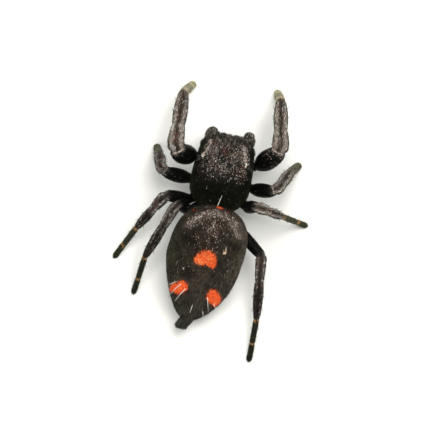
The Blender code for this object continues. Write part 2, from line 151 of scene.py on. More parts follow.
def skin(name, rings, material, nodes=(), tint=(0.02, 0.02, 0.02)):
    """A closed surface through rings (row, point, xyz in mm), drawn to a point at both ends."""
    rows, count, _ = rings.shape
    ends = rings[[0, -1]].mean(axis=1)
    points = np.concatenate([rings.reshape(-1, 3), ends])
    row, col = np.meshgrid(np.arange(rows - 1), np.arange(count), indexing="ij")
    first, beside = row * count + col, row * count + (col + 1) % count
    quads = np.stack([first, beside, beside + count, first + count], axis=-1).reshape(-1, 4)
    col, after = np.arange(count), (np.arange(count) + 1) % count
    last = (rows - 1) * count
    fan_a = np.stack([after, col, np.full(count, rows * count)], axis=-1)
    fan_b = np.stack([last + col, last + after, np.full(count, rows * count + 1)], axis=-1)
    middle = rings.mean(axis=1, keepdims=True)
    face_out = np.cross(rings[1:, :] - rings[:-1, :], np.roll(rings, -1, 1)[:-1] - rings[:-1])
    if np.sum(face_out * (rings - middle)[:-1]) > 0.0:
        quads, fan_a, fan_b = quads[:, ::-1], fan_a[:, ::-1], fan_b[:, ::-1]
    mesh = bpy.data.meshes.new(name)
    faces = quads.tolist() + fan_a.tolist() + fan_b.tolist()
    mesh.from_pydata(in_row_frame(points).tolist(), [], faces)
    tint = np.broadcast_to(np.asarray(tint, float), (*rings.shape[:2], 3)).reshape(-1, 3)
    set_tint(mesh, np.concatenate([tint, tint[:1], tint[-1:]]))
    return new_piece(name, mesh, material, nodes)


def link(tree, source, output, target, entry):
    """Joins an output of one shader node to an entry of another."""
    tree.links.new(source.outputs[output], target.inputs[entry])


def pitted_group():
    """Fine grain for shell and skin: a roughness and a height, both from two noises."""
    group = bpy.data.node_groups.new("fine_grain", "ShaderNodeTree")
    for socket, way, kind in (("Size", "INPUT", "NodeSocketFloat"),
                              ("Gloss", "INPUT", "NodeSocketFloat"),
                              ("Roughness", "OUTPUT", "NodeSocketFloat"),
                              ("Height", "OUTPUT", "NodeSocketFloat")):
        group.interface.new_socket(socket, in_out=way, socket_type=kind)
    entry, leave = group.nodes.new("NodeGroupInput"), group.nodes.new("NodeGroupOutput")
    place = group.nodes.new("ShaderNodeTexCoord")
    coarse, fine = group.nodes.new("ShaderNodeTexNoise"), group.nodes.new("ShaderNodeTexVoronoi")
    spread, total = group.nodes.new("ShaderNodeMath"), group.nodes.new("ShaderNodeMath")
    spread.operation, total.operation = "MULTIPLY_ADD", "ADD"
    spread.inputs[1].default_value = 0.25
    coarse.inputs["Detail"].default_value = 4.0
    for noise in (coarse, fine):
        link(group, place, "Object", noise, "Vector")
        link(group, entry, "Size", noise, "Scale")
    link(group, coarse, "Fac", spread, 0)
    link(group, entry, "Gloss", spread, 2)
    link(group, coarse, "Fac", total, 0)
    link(group, fine, "Distance", total, 1)
    link(group, spread, 0, leave, "Roughness")
    link(group, total, 0, leave, "Height")
    return group


FINE_GRAIN = pitted_group()


def tinted(name, size, gloss, relief, coat=0.0, specular=0.5, sheen=0.0):
    """A material whose colour is the tint, with fine grain of the given number per metre."""
    material = bpy.data.materials.new(name)
    material.use_nodes = True
    tree = material.node_tree
    shader = tree.nodes["Principled BSDF"]
    tint = tree.nodes.new("ShaderNodeAttribute")
    tint.attribute_name = "tint"
    grain = tree.nodes.new("ShaderNodeGroup")
    grain.node_tree = FINE_GRAIN
    grain.inputs["Size"].default_value = size
    grain.inputs["Gloss"].default_value = gloss
    bump = tree.nodes.new("ShaderNodeBump")
    bump.inputs["Distance"].default_value = relief * MM
    link(tree, tint, "Color", shader, "Base Color")
    link(tree, grain, "Roughness", shader, "Roughness")
    link(tree, grain, "Height", bump, "Height")
    link(tree, bump, "Normal", shader, "Normal")
    shader.inputs["Coat Weight"].default_value = coat
    shader.inputs["Coat Roughness"].default_value = 0.15
    shader.inputs["Specular IOR Level"].default_value = specular
    shader.inputs["Sheen Weight"].default_value = sheen
    return material


SHELL = tinted("black_shell", size=9000.0, gloss=0.20, relief=0.02, coat=0.02, specular=0.07)


def superellipse(angle, power):
    """Cosine and sine of a superellipse: power 2 is a circle, more is squarer."""
    cosine = np.sign(np.cos(angle)) * np.abs(np.cos(angle)) ** (2.0 / power)
    sine = np.sign(np.sin(angle)) * np.abs(np.sin(angle)) ** (2.0 / power)
    return cosine, sine


def crowded(count, front, rear):
    """Shares from 0 to 1, crowded towards both ends, which are slightly cut off."""
    even = np.linspace(0.0, 1.0, count)
    front_part = 0.5 * (2.0 * even.clip(0, 0.5)) ** front
    rear_part = 0.5 * (2.0 * (1.0 - even).clip(0, 0.5)) ** rear
    return np.where(even < 0.5, front_part, 1.0 - rear_part).clip(0.0008, 0.9992)


def pointed(rings):
    """Draws the repeated rings at both ends in to a point, so that the coat covers the ends too."""
    share = np.ones((len(rings), 1, 1))
    share[0], share[1], share[-1] = 0.06, 0.55, 0.06
    middle = rings.mean(axis=1, keepdims=True)
    return middle + (rings - middle) * share


def carapace_rings():
    """Arches over a nearly flat underside, square over the head and rounder over the chest.

    The half-width spreads a little to 60 % of the length and then rounds off; the top rises
    from brow to crown as a quarter sine and falls as a parabola to the rear margin.
    """
    share = crowded(150, 2.0, 1.6)
    spread = 1.0 - 0.16 * (positive(0.6 - share) / 0.6) ** 1.6
    corner = (1.0 - positive(1.0 - share / 0.20) ** 2.6) ** (1.0 / 2.8)
    round_rear = (1.0 - (positive(share - 0.6) / 0.4) ** 2.6) ** 0.52
    half_width = (CARAPACE_HALF_WIDTH - SHELL_COAT) * spread * corner * round_rear
    lift = ramp(share, 0.28, -0.15)
    bottom = CARAPACE_BOTTOM + (FACE_BOTTOM - CARAPACE_BOTTOM) * lift + 0.02
    rise = np.sin(ramp(share, 0.0, CROWN_AT) * math.pi / 2)
    fall = (positive(share - CROWN_AT) / (1.0 - CROWN_AT)) ** 2.0
    top = BROW_HEIGHT + (CROWN_HEIGHT - BROW_HEIGHT) * rise - (CROWN_HEIGHT - REAR_HEIGHT) * fall
    edge = (1.0 - positive(1.0 - share / 0.07) ** 2.6) ** (1.0 / 2.4)
    height = (top - SHELL_COAT - bottom) * edge
    around = np.linspace(0.0, math.pi, 120)
    squareness = 3.4 - 1.1 * ramp(share, 0.35, 0.65)[:, None]
    cosine, sine = superellipse(around[None, :], squareness)
    lean = 1.0 - 0.10 * sine**2 - 0.05 * np.clip(1.0 - sine / 0.25, 0.0, 1.0)
    x = half_width[:, None] * cosine * lean
    length = CARAPACE_LENGTH - 2.0 * SHELL_COAT
    y = CARAPACE_FRONT + SHELL_COAT + length * share[:, None] + 0.0 * x
    z = bottom[:, None] + height[:, None] * sine
    under = np.linspace(-1.0, 1.0, 30)[1:-1]
    under_x = half_width[:, None] * under * 0.95
    under_z = bottom[:, None] + 0.05 * (1.0 - under**2) * edge[:, None]
    x = np.concatenate([x, under_x], axis=1)
    y = np.concatenate([y, y[:, :len(under)]], axis=1)
    z = np.concatenate([z, under_z], axis=1)
    return pointed(np.stack([x, y, z], axis=-1))


def outward(rings):
    """Unit normals of a ring surface, facing away from the middle of each ring."""
    along = np.gradient(rings, axis=0)
    around = np.roll(rings, -1, 1) - np.roll(rings, 1, 1)
    normal = np.cross(along, around)
    normal = normal / np.maximum(np.linalg.norm(normal, axis=-1, keepdims=True), 1e-9)
    away = np.sum(normal * (rings - rings.mean(axis=1, keepdims=True)))
    return normal if away > 0.0 else -normal


def shaped_carapace():
    """The arches with low swellings round the eyes, a shallow dip across the neck and a pit."""
    rings = carapace_rings()
    normal = outward(rings)
    push = np.zeros(rings.shape[:2])
    for _, centre, radius in ALL_EYES:
        gap = np.linalg.norm(rings - centre, axis=-1)
        push += (0.03 + 0.10 * radius) * bell(gap - radius, 0.09 + 0.12 * radius)
    above = np.clip(normal[..., 2], 0.0, 1.0)
    x, y = rings[..., 0], rings[..., 1]
    push -= 0.07 * bell(y + 2.75 - 0.10 * x**2, 0.30) * above
    push -= 0.06 * bell(x, 0.06) * bell(y + 2.55, 0.25) * above
    return rings + normal * push[..., None]


def paleness(points):
    """How thickly pale scales lie: most on the crown, hardly any on the flanks and the chest."""
    x, y, z = np.moveaxis(points, -1, 0)
    across = ramp(np.abs(x), 1.80, -0.35) * ramp(z, 4.2, 0.4)
    return across / (1.0 + np.exp((y + 2.50) / 0.17))


def carapace_tint(points):
    """Black, warm grey-brown on the crown, and a painted greenish reflection low on the flanks."""
    # Greenish low on the flanks: a painted reflection, not the shell's own colour.
    flank = ramp(points[..., 2], 4.3, -1.4)
    tint = blend(np.broadcast_to(BLACK, points.shape), [0.008, 0.010, 0.004], flank)
    return blend(tint, [0.022, 0.018, 0.014], paleness(points) * grains(points, 0.09))


carapace = shaped_carapace()
skin("carapace_shell", carapace, SHELL, ["carapace"], carapace_tint(carapace))


# The coat of the shield: flat hairs and scales, each a thin three-sided blade. They point
# forwards over the head and backwards over the chest, and pale ones line the rows of eyes.

HAIR = tinted("hair", size=30000.0, gloss=0.30, relief=0.0, specular=0.09)
POINTS_OF_BLADE = 7
SHADES_OF_BLADE = (0.6, 0.6, 0.6, 1.0, 1.0, 1.0, 1.15)  # at root, middle and tip
PATCH = 0.003  # size of one hair's patch on the unwrapped skin
ROOT_DEPTH, COAT_OFF_FLOOR = 0.012, 0.004

# Hairs on a surface: roots, outward normals, directions along it, places on the unwrapped skin.
Hairs = namedtuple("Hairs", "roots out along unwrap")


def sow(rings, count, density=None):
    """Hairs rooted at random on a ring surface, as dense as asked for each of its facets."""
    wrapped = np.concatenate([rings, rings[:, :1]], axis=1)
    a, b, c, d = wrapped[:-1, :-1], wrapped[1:, :-1], wrapped[1:, 1:], wrapped[:-1, 1:]
    normal = np.cross(c - a, d - b)
    weight = np.linalg.norm(normal, axis=-1) / 2.0
    normal = normal / np.maximum(2.0 * weight, 1e-12)[..., None]
    centre = (a + b + c + d) / 4.0
    if np.sum(normal * (centre - rings.mean(axis=1)[:-1, None])) < 0.0:
        normal = -normal
    if density is not None:
        weight = weight * density(centre, normal)
    pick = chance.choice(weight.size, count, p=weight.ravel() / weight.sum())
    row, col = np.divmod(pick, weight.shape[1])
    s, t = chance.random((2, count, 1))
    a, b, c, d = (corner[row, col] for corner in (a, b, c, d))
    place = (1 - s) * (1 - t) * a + s * (1 - t) * b + s * t * c + (1 - s) * t * d
    along = unit(b - a + 1e-9)
    shares = np.array([row + s[:, 0], col + t[:, 0]]).T / np.array(weight.shape)
    return Hairs(place, normal[row, col], along, shares)


def plant(name, hairs, lay, length, width, lift, tint, flat=0.45):
    """Blades on roots: each leaves the skin at the lift angle and bends back towards the lay.

    A blade is two three-cornered rings and a tip. Its ridge stands up from the skin by its
    width times flat, and the tint is darker at the root and lighter at the tip.
    """
    roots, out, _, unwrap = hairs
    count = len(roots)
    length, width, lift = (np.broadcast_to(v, count)[:, None] for v in (length, width, lift))
    lay = unit(lay - np.sum(lay * out, axis=1, keepdims=True) * out)
    side = np.cross(lay, out)
    rise = lay * np.cos(lift) + out * np.sin(lift)
    bowed = lay * np.cos(0.25 * lift) + out * np.sin(0.25 * lift)
    middle = roots + 0.5 * length * rise
    tip = middle + 0.5 * length * bowed
    base = roots - ROOT_DEPTH * out
    half, ridge = 0.5 * width * side, flat * width * out
    points = np.stack([base - half, base + half, base + ridge, middle - 0.85 * half,
                       middle + 0.85 * half, middle + 0.85 * ridge, tip], axis=1)
    points[..., 2] = np.maximum(points[..., 2], COAT_OFF_FLOOR)
    mesh = bpy.data.meshes.new(name)
    mesh.vertices.add(count * POINTS_OF_BLADE)
    mesh.vertices.foreach_set("co", in_row_frame(points).ravel())
    loops = np.array([0, 3, 4, 1, 1, 4, 5, 2, 2, 5, 3, 0, 3, 6, 4, 4, 6, 5, 5, 6, 3, 0, 1, 2])
    sizes = np.array([4, 4, 4, 3, 3, 3, 3])
    first = np.arange(count)[:, None]
    mesh.loops.add(count * len(loops))
    mesh.loops.foreach_set("vertex_index", (first * POINTS_OF_BLADE + loops).ravel())
    mesh.polygons.add(count * len(sizes))
    starts = np.concatenate([[0], np.cumsum(sizes)[:-1]])
    mesh.polygons.foreach_set("loop_start", (first * len(loops) + starts).ravel())
    mesh.update(calc_edges=True)
    across = np.array([-0.5, 0.5, 0.0, -0.5, 0.5, 0.0, 0.0])
    down = np.array([0.0, 0.0, 0.0, 0.5, 0.5, 0.5, 1.0])
    patch = unwrap[:, None, :] * (1.0 - 2 * PATCH) + PATCH * (1.0 + np.array([across, down]).T)
    bake = mesh.uv_layers.new(name="OFBake")
    bake.data.foreach_set("uv", patch[:, loops].ravel())
    shade = np.array(SHADES_OF_BLADE)
    set_tint(mesh, (tint[:, None, :] * shade[None, :, None]).reshape(-1, 3))
    return new_piece(name, mesh, HAIR)


def drawn(value, choices):
    """Picks a colour out of (share, colour) pairs for each value from 0 to 1."""
    shares = np.cumsum([share for share, _ in choices])
    colours = np.array([colour for _, colour in choices])
    return colours[np.searchsorted(shares / shares[-1], value).clip(max=len(choices) - 1)]


def mixed(count, choices):
    """One colour for each hair, drawn at random and each a little varied."""
    return drawn(chance.random(count), choices) * chance.uniform(0.7, 1.3, (count, 1))


def mottled(roots, choices, size=0.08, mixing=0.35):
    """As mixed, but most hairs share the colour of the little cube that they stand in."""
    count = len(roots)
    value = np.where(chance.random(count) < mixing, chance.random(count), grains(roots, size))
    return drawn(value, choices) * chance.uniform(0.7, 1.3, (count, 1))


DARK, BROWN, GREY = (0.0034, 0.0036, 0.0022), (0.042, 0.032, 0.025), (0.18, 0.160, 0.14)
PINK, WHITE, RUST = (0.48, 0.36, 0.33), (0.88, 0.84, 0.78), (0.13, 0.030, 0.020)
OLIVE = (0.012, 0.016, 0.006)
BRIGHTNESS_OF_SCALES = 0.9  # sum of the three colour values above which a hair is a scale
CROWN_PATCHES = {  # x, y and radius of the patches on the crown, mm
    "rust": ((0.07, -4.25, 0.30), (-1.05, -4.40, 0.25), (-1.35, -3.10, 0.32), (0.9, -4.7, 0.2)),
    "grey": ((0.02, -2.95, 0.38), (0.90, -3.40, 0.30), (-0.84, -3.95, 0.28), (0.8, -4.3, 0.3)),
    # The white patches lie at the rear side eyes: painted glints of their lenses, made of white
    # hairs.
    "white": ((1.62, -3.68, 0.08), (1.84, -3.44, 0.07), (-1.80, -3.38, 0.08), (-1.60, -3.70, 0.10),
              (-1.90, -3.58, 0.06)),
    "dark": ((0.10, -3.68, 0.34), (0.55, -3.95, 0.20), (-0.45, -3.30, 0.25), (-1.1, -3.5, 0.2),
             (1.22, -3.38, 0.26), (-0.95, -3.10, 0.22)),
}
CROWN_HAIR = ((0.40, DARK), (0.26, BROWN), (0.06, RUST), (0.11, GREY), (0.07, PINK), (0.10, WHITE))
RUSTY_HAIR = ((0.45, RUST), (0.25, BROWN), (0.15, DARK), (0.10, PINK), (0.05, WHITE))
GREY_HAIR = ((0.40, GREY), (0.24, PINK), (0.16, WHITE), (0.20, BROWN))
BROW_HAIR = ((0.24, DARK), (0.40, BROWN), (0.04, RUST), (0.32, (0.13, 0.12, 0.11)))
NECK = -2.9  # where the coat changes its lay
UNDERSIDE = -0.5  # rise of the normal below which the shield is bare
RIM = 0.12  # breadth of the bare skin round a small front eye


def patches(points, kind):
    """How strongly a kind of patch shows at each place, from 0 to 1."""
    strength = np.zeros(points.shape[:-1])
    for middle_x, middle_y, radius in CROWN_PATCHES[kind]:
        gap = np.hypot(points[..., 0] - middle_x, points[..., 1] - middle_y)
        strength = np.maximum(strength, bell(gap, radius))
    return strength


def dyed(tint, chosen, colour):
    """The tint, but another colour on the chosen hairs."""
    return np.where(chosen[:, None], colour, tint)


def unruly(lay, waver, count):
    """The lay of each hair: the given direction, a little changed at random."""
    return lay + chance.normal(0.0, waver, (count, 3))


def comb(name, hairs, lay, tint, length, lift, width):
    """Plants hairs whose lengths and lifts are drawn between two limits.

    The third value of each changes what is drawn: it multiplies the length, and is added to
    the lift.
    """
    count = len(hairs.roots)
    (shortest, longest, factor), (flattest, steepest, more) = length, lift
    length = chance.uniform(shortest, longest, count) * factor
    lift = chance.uniform(flattest, steepest, count) + more
    plant(name, hairs, lay, length, width, lift, tint)


def off_the_eyes(places):
    """True where a place on the shield isn't covered by one of the eye balls."""
    clear = np.ones(places.shape[:-1], bool)
    for _, centre, radius in ALL_EYES:
        clear &= np.linalg.norm(places - centre, axis=-1) > 1.04 * radius
    return clear


def off_the_small_eyes(places):
    """True outside the bare rims of the small front eyes."""
    centre, radius = EYES["al"]
    mirrored = np.stack([np.abs(places[..., 0]), places[..., 1], places[..., 2]], axis=-1)
    return np.linalg.norm(mirrored - np.array(centre), axis=-1) > radius + RIM


def head_lay(roots, out):
    """Forwards over the head and backwards over the chest, turning at the neck."""
    x, y, _ = roots.T
    head = 1.0 / (1.0 + np.exp((y - NECK) / 0.25))
    aside = -0.25 * np.sign(x) * (out[:, 2] > 0.3)
    forwards = np.stack([aside, np.full(len(x), -1.0), -0.6 * (y < -5.2)], axis=1)
    backwards = np.array([0.0, 1.0, -0.2])
    return unruly(forwards * head[:, None] + backwards * (1.0 - head[:, None]), 0.28, len(roots))


def pale_band(roots):
    """Strength of the pale band inside each row of side eyes; the row bends out to the rear."""
    x, y, z = roots.T
    row_of_eyes = 1.27 + 0.26 * positive(y + 4.6) + 0.30 * positive(y + 4.0) * (x > 0.0)
    ends = ramp(y, -5.35, 0.50) * ramp(y, -3.42, -0.12)
    beside = np.abs(x) - row_of_eyes + 0.05 * ripple(roots, 0.3)
    breadth = np.where(x < 0.0, 0.14, 0.11)
    return bell(beside, breadth) * ends * (z > 4.0)


def carapace_coat(name, count, zone):
    """Dark hair everywhere, mottled scales on the crown, and a pale band inside each eye row."""
    hairs = sow(carapace, count, zone)
    roots = hairs.roots
    _, y, z = roots.T
    rust, grey, dark = (patches(roots, kind) for kind in ("rust", "grey", "dark"))
    plain = mottled(roots, [(0.80, DARK), (0.187, OLIVE), (0.010, GREY), (0.003, WHITE)], size=0.06)
    # Greenish hairs low on the flanks: a painted green reflection.
    plain = dyed(plain, chance.random(count) < 0.6 * ramp(z, 4.2, -0.8), (0.020, 0.025, 0.010))
    crown = mottled(roots, CROWN_HAIR, size=0.055)
    rusty = mottled(roots, RUSTY_HAIR)
    greyish = mottled(roots, GREY_HAIR, size=0.07)
    brow = mottled(roots, BROW_HAIR, size=0.06)
    share = paleness(roots) * np.clip(0.86 + 0.35 * ripple(roots, 0.45) - 0.75 * dark, 0.0, 1.0)
    tint = dyed(plain, chance.random(count) < share, crown)
    tint = dyed(tint, chance.random(count) < 0.60 * rust, rusty)
    tint = dyed(tint, chance.random(count) < 0.42 * grey, greyish)
    tint = dyed(tint, chance.random(count) < ramp(y, -4.85, -0.4) * ramp(z, 3.6, 0.4), brow)
    band = 0.95 * pale_band(roots) * np.clip(0.8 + 0.7 * ripple(roots, 0.25, 2.0), 0.3, 1.0)
    banded = chance.random(count) < band
    tint = dyed(tint, banded, mixed(count, [(0.15, GREY), (0.45, PINK), (0.40, WHITE)]))
    # White hairs at the rear side eyes: painted glints of their lenses.
    tint = dyed(tint, chance.random(count) < patches(roots, "white") * (z > 4.15), WHITE)
    bright = tint.sum(axis=1) > BRIGHTNESS_OF_SCALES
    width = chance.uniform(0.018, 0.034, count) * np.where(bright, 1.3, 1.0)
    lift = np.where(bright, 0.12, chance.uniform(0.10, 0.45, count))
    length = chance.uniform(0.07, 0.14, count) * np.where(bright, 0.8, 1.0)
    plant(name, hairs, head_lay(roots, hairs.out), length, width, lift, tint)


def head_zone(centre, normal):
    """The shield in front of the neck, but for the eyes."""
    clear = off_the_eyes(centre) & off_the_small_eyes(centre)
    return (normal[..., 2] > UNDERSIDE) & clear & (centre[..., 1] < NECK)


def chest_zone(centre, normal):
    """The shield behind the neck."""
    return (normal[..., 2] > UNDERSIDE) & off_the_eyes(centre) & (centre[..., 1] >= NECK)


def brow_zone(centre, normal):
    """The front edge above the eyes and the two front corners of the head."""
    x, y, z = np.moveaxis(centre, -1, 0)
    front = y < -5.10 + 0.25 * positive(np.abs(x) - 0.7)
    return front & (z > 4.0) & off_the_eyes(centre) & off_the_small_eyes(centre)


def tuft_zone(centre, normal):
    """The narrow gap between a large and a small front eye."""
    x, y, z = np.moveaxis(centre, -1, 0)
    return (np.abs(np.abs(x) - 0.89) < 0.10) & (y < -5.0) & (np.abs(z - 4.15) < 0.35)


def cheek_zone(centre, normal):
    """The front corners of the head beside the palps, behind the small front eyes."""
    x, y, z = np.moveaxis(centre, -1, 0)
    return (np.abs(x) > 1.35) & (np.abs(y + 4.85) < 0.32) & (np.abs(z - 3.7) < 0.5)


def lip_zone(centre, normal):
    """The clypeus, the strip of the face between the front eyes and the jaws."""
    return (centre[..., 1] < -5.25) & (centre[..., 2] < 3.5) & (normal[..., 2] > -0.6)


ASIDE, UP = np.array([1.0, 0.0, 0.0]), np.array([0.0, 0.0, 1.0])

carapace_coat("carapace_coat_head", 19000, head_zone)
carapace_coat("carapace_coat_chest", 9000, chest_zone)

count = 1700
hairs = sow(carapace, count, brow_zone)
x = hairs.roots[:, :1]
corner = bell(np.abs(x) - 1.20, 0.25)
lay = np.array([0.0, -1.0, -0.30]) + 0.35 * np.sign(x) * ASIDE * (np.abs(x) > 0.9)
lay = unruly(lay + 0.6 * corner * UP, 0.22, count)
brown = ((0.30, DARK), (0.24, OLIVE), (0.26, BROWN), (0.16, GREY), (0.04, PINK))
tint = mottled(hairs.roots, brown, size=0.06)
longer = 1.0 + 0.6 * bell(x[:, 0] - 0.05, 0.25) + 0.5 * corner[:, 0]
raised = 0.9 * np.clip(-hairs.out[:, 1] - 0.3, 0.0, 1.0)
comb("brow_fringe", hairs, lay, tint, (0.14, 0.26, longer), (0.15, 0.6, raised), 0.022)

count = 300
hairs = sow(carapace, count, tuft_zone)
lay = unruly(np.array([0.0, -1.0, 0.1]), 0.15, count)
tint = mottled(hairs.roots, [(0.30, DARK), (0.30, OLIVE), (0.25, BROWN), (0.15, GREY)], size=0.06)
lift = 0.2 + 1.1 * np.clip(-hairs.out[:, 1], 0.0, 1.0)
length = chance.uniform(0.28, 0.46, count)
plant("eye_tufts", hairs, lay, length, 0.022, lift, tint)

count = 900
hairs = sow(carapace, count, cheek_zone)
lay = unruly(np.array([0.0, -1.0, 0.0]) + 0.3 * np.sign(hairs.roots[:, :1]) * ASIDE, 0.2, count)
tint = mottled(hairs.roots, [(0.40, DARK), (0.40, OLIVE), (0.20, (0.06, 0.06, 0.035))], size=0.06)
comb("cheek_fringe", hairs, lay, tint, (0.22, 0.44, 1.0), (0.2, 0.6, 0.0), 0.022)

count = 700
hairs = sow(carapace, count, lip_zone)
lay = unruly(np.array([0.0, -0.35, -1.0]), 0.22, count)
tint = mixed(count, [(0.35, DARK), (0.30, GREY), (0.35, WHITE)])
longer = 1.0 + 0.35 * (np.abs(hairs.roots[:, 0]) < 1.0)
comb("face_fringe", hairs, lay, tint, (0.20, 0.42, longer), (0.3, 0.8, 0.0), 0.018)


# ------------------------------------------------------------------ eyes
# Eight polished black lenses, each a ball of clear horn sunk into the shield. The two large ones
# look forwards, the side ones look outwards.

LENS = tinted("black_lens", size=2000.0, gloss=0.0, relief=0.0, specular=0.25)
LENS_TINT = (0.003, 0.0025, 0.002)


def full_turn(steps):
    """The angles of a whole turn in equal steps."""
    return np.linspace(0.0, 2.0 * math.pi, steps, endpoint=False)


def ball(centre, radius, rows=48, sides=64):
    """A sphere from rings whose heights are the cosine of the share of half a turn."""
    slope = np.linspace(0.0, math.pi, rows + 2)[1:-1, None]
    angle = full_turn(sides)
    x, y = np.sin(slope) * np.cos(angle), np.sin(slope) * np.sin(angle)
    return np.stack([x, y, np.cos(slope) + 0.0 * x], axis=-1) * radius + centre


for name, centre, radius in ALL_EYES:
    skin(f"lens_{name}", ball(centre, radius), LENS, [f"eye_{name}"], LENS_TINT)


# ------------------------------------------------------------------ abdomen
# A soft egg-shaped sac of thin black skin under a close coat. Its back carries three patches
# of orange scales, a broken band round the front edge and shiny specks.

ABDOMEN_FRONT, ABDOMEN_LENGTH, ABDOMEN_FRONT_Z = -0.60, 8.2, 4.05
ABDOMEN_HALF_WIDTH, ABDOMEN_HALF_HEIGHT, ABDOMEN_WIDEST_AT = 2.75, 2.22, 0.43
FRONT_SWING, REAR_SWING, ABDOMEN_END = 0.28, 0.36, 0.985
ABDOMEN_COAT = 0.10
ORANGE, EMBER, AMBER = (0.80, 0.115, 0.028), (0.60, 0.050, 0.018), (0.85, 0.34, 0.10)

SOFT_SKIN = tinted("abdomen_skin", size=7000.0, gloss=0.45, relief=0.03, specular=0.07)


def abdomen_middle(share):
    """Centre line: level in front, bending down to the spinnerets, a little S-bent sideways."""
    x = REAR_SWING * positive((share - 0.6) / 0.4) ** 2.4
    x = x - FRONT_SWING * positive(1.0 - share / 0.45) ** 0.8
    return x, ABDOMEN_FRONT + ABDOMEN_LENGTH * share, ABDOMEN_FRONT_Z - 1.15 * share - 1.30 * share**3


def abdomen_rings():
    """Rings of a squarish circle; the half-width is blunt in front and tapers slowly behind."""
    share = crowded(170, 1.9, 1.6)
    front = positive(1.0 - share / ABDOMEN_WIDEST_AT)
    rear = positive(share - ABDOMEN_WIDEST_AT) / (1.0 - ABDOMEN_WIDEST_AT)
    profile = (1.0 - front**2.8) ** 0.42 * (1.0 - rear**1.7) ** 0.6
    cosine, sine = superellipse(full_turn(200), 2.15)
    middle_x, middle_y, middle_z = abdomen_middle(share)
    x = middle_x[:, None] + (ABDOMEN_HALF_WIDTH - ABDOMEN_COAT) * profile[:, None] * cosine
    depth = np.where(sine < 0.0, 1.0 - 0.50 * front[:, None], 1.0)
    half_height = (ABDOMEN_HALF_HEIGHT - ABDOMEN_COAT) * profile[:, None]
    z = middle_z[:, None] + half_height * sine * depth
    squeeze = 1.0 - 2.0 * ABDOMEN_COAT / ABDOMEN_LENGTH
    y = (middle_y - ABDOMEN_FRONT) * squeeze + ABDOMEN_FRONT + ABDOMEN_COAT
    return pointed(np.stack([x, y[:, None] + 0.0 * x, z], axis=-1))


SPOTS = (  # each spot: its centre, then its radius in mm at bearings round it, in degrees
    ((-0.34, 3.44), (9, 24, 46, 61, 88, 105, 127, 152, 180, 215, 235, 260, 298, 332),
     (1.00, 0.85, 0.52, 0.34, 0.28, 0.38, 0.57, 0.68, 0.61, 0.60, 0.58, 0.65, 0.70, 0.77)),
    ((1.34, 5.54), (14, 44, 96, 126, 172, 198, 233, 264, 318),
     (0.77, 0.40, 0.37, 0.40, 0.58, 0.72, 0.61, 0.45, 0.36)),
    ((-1.28, 5.73), (27, 75, 132, 155, 180, 245, 286, 323, 348),
     (0.45, 0.43, 0.58, 0.56, 0.54, 0.47, 0.54, 0.60, 0.53)),
)
FLECKS = (  # small marks: centre, half-length and half-width, bearing of the length, colour
    ((-0.35, -0.37), (0.23, 0.08), 175, ORANGE),
    ((1.34, 0.10), (0.16, 0.05), -20, EMBER),
    ((1.80, 0.47), (0.12, 0.05), -40, EMBER),
    ((-0.98, -0.16), (0.13, 0.04), 165, (0.25, 0.03, 0.015)),
    ((-2.53, 0.98), (0.10, 0.06), 60, AMBER),
    ((-1.37, 2.68), (0.15, 0.09), 40, (0.85, 0.62, 0.42)),
    ((-1.42, 2.42), (0.16, 0.04), 80, (0.62, 0.50, 0.40)),
    ((1.25, 4.25), (0.07, 0.05), 0, WHITE),
)


def orange_share(points):
    """1 inside a spot, judged by distance and bearing from its centre; the edge is ragged."""
    x, y, z = np.moveaxis(points, -1, 0)
    ragged = 0.15 * (grains(points, 0.07, 3.0) - 0.5)
    share = np.zeros(x.shape)
    for (middle_x, middle_y), bearings, radii in SPOTS:
        bearing = np.degrees(np.arctan2(y - middle_y, x - middle_x))
        reach = np.interp(bearing, bearings, radii, period=360.0)
        gap = np.hypot(x - middle_x, y - middle_y) - reach + ragged
        share = np.maximum(share, 1.0 / (1.0 + np.exp(gap / 0.018)))
    return share * ramp(z, 3.2 - 0.12 * y, 0.3)


def height_over(rings, x, y):
    """Height of the surface's upper side nearest to a place in plan."""
    upper = outward(rings)[..., 2] > 0.1
    gap = np.hypot(rings[..., 0] - x, rings[..., 1] - y) + 9.0 * ~upper
    return rings[..., 2].flat[np.argmin(gap)]


abdomen = abdomen_rings()
FLECK_HEIGHTS = [height_over(abdomen, *middle) for middle, _, _, _ in FLECKS]


def with_flecks(tint, points):
    """Adds the small marks: long ovals, each in its own colour and no taller than long."""
    x, y, z = np.moveaxis(points, -1, 0)
    for ((middle_x, middle_y), (half_length, half_width), bearing, colour), height in zip(
            FLECKS, FLECK_HEIGHTS):
        turn = math.radians(bearing)
        ahead = (x - middle_x) * math.cos(turn) + (y - middle_y) * math.sin(turn)
        aside = (y - middle_y) * math.cos(turn) - (x - middle_x) * math.sin(turn)
        inside = (ahead / half_length) ** 2 + (aside / half_width) ** 2 < 1.0
        tint = blend(tint, colour, inside & (np.abs(z - height) < half_length))
    return tint


def crescent(points):
    """The pale arc behind the front edge of the back, part of a circle."""
    x, y, z = np.moveaxis(points, -1, 0)
    return bell(np.hypot(x + 0.35, y - 2.0) - 1.90, 0.30) * (y < 1.5) * (z > 4.2)


DARK_PATCHES = (  # x, y and radius, mm
    (1.35, 2.20, 0.50), (-1.75, 2.20, 0.70), (-1.2, 3.6, 0.5), (0.9, 4.5, 0.5),
)


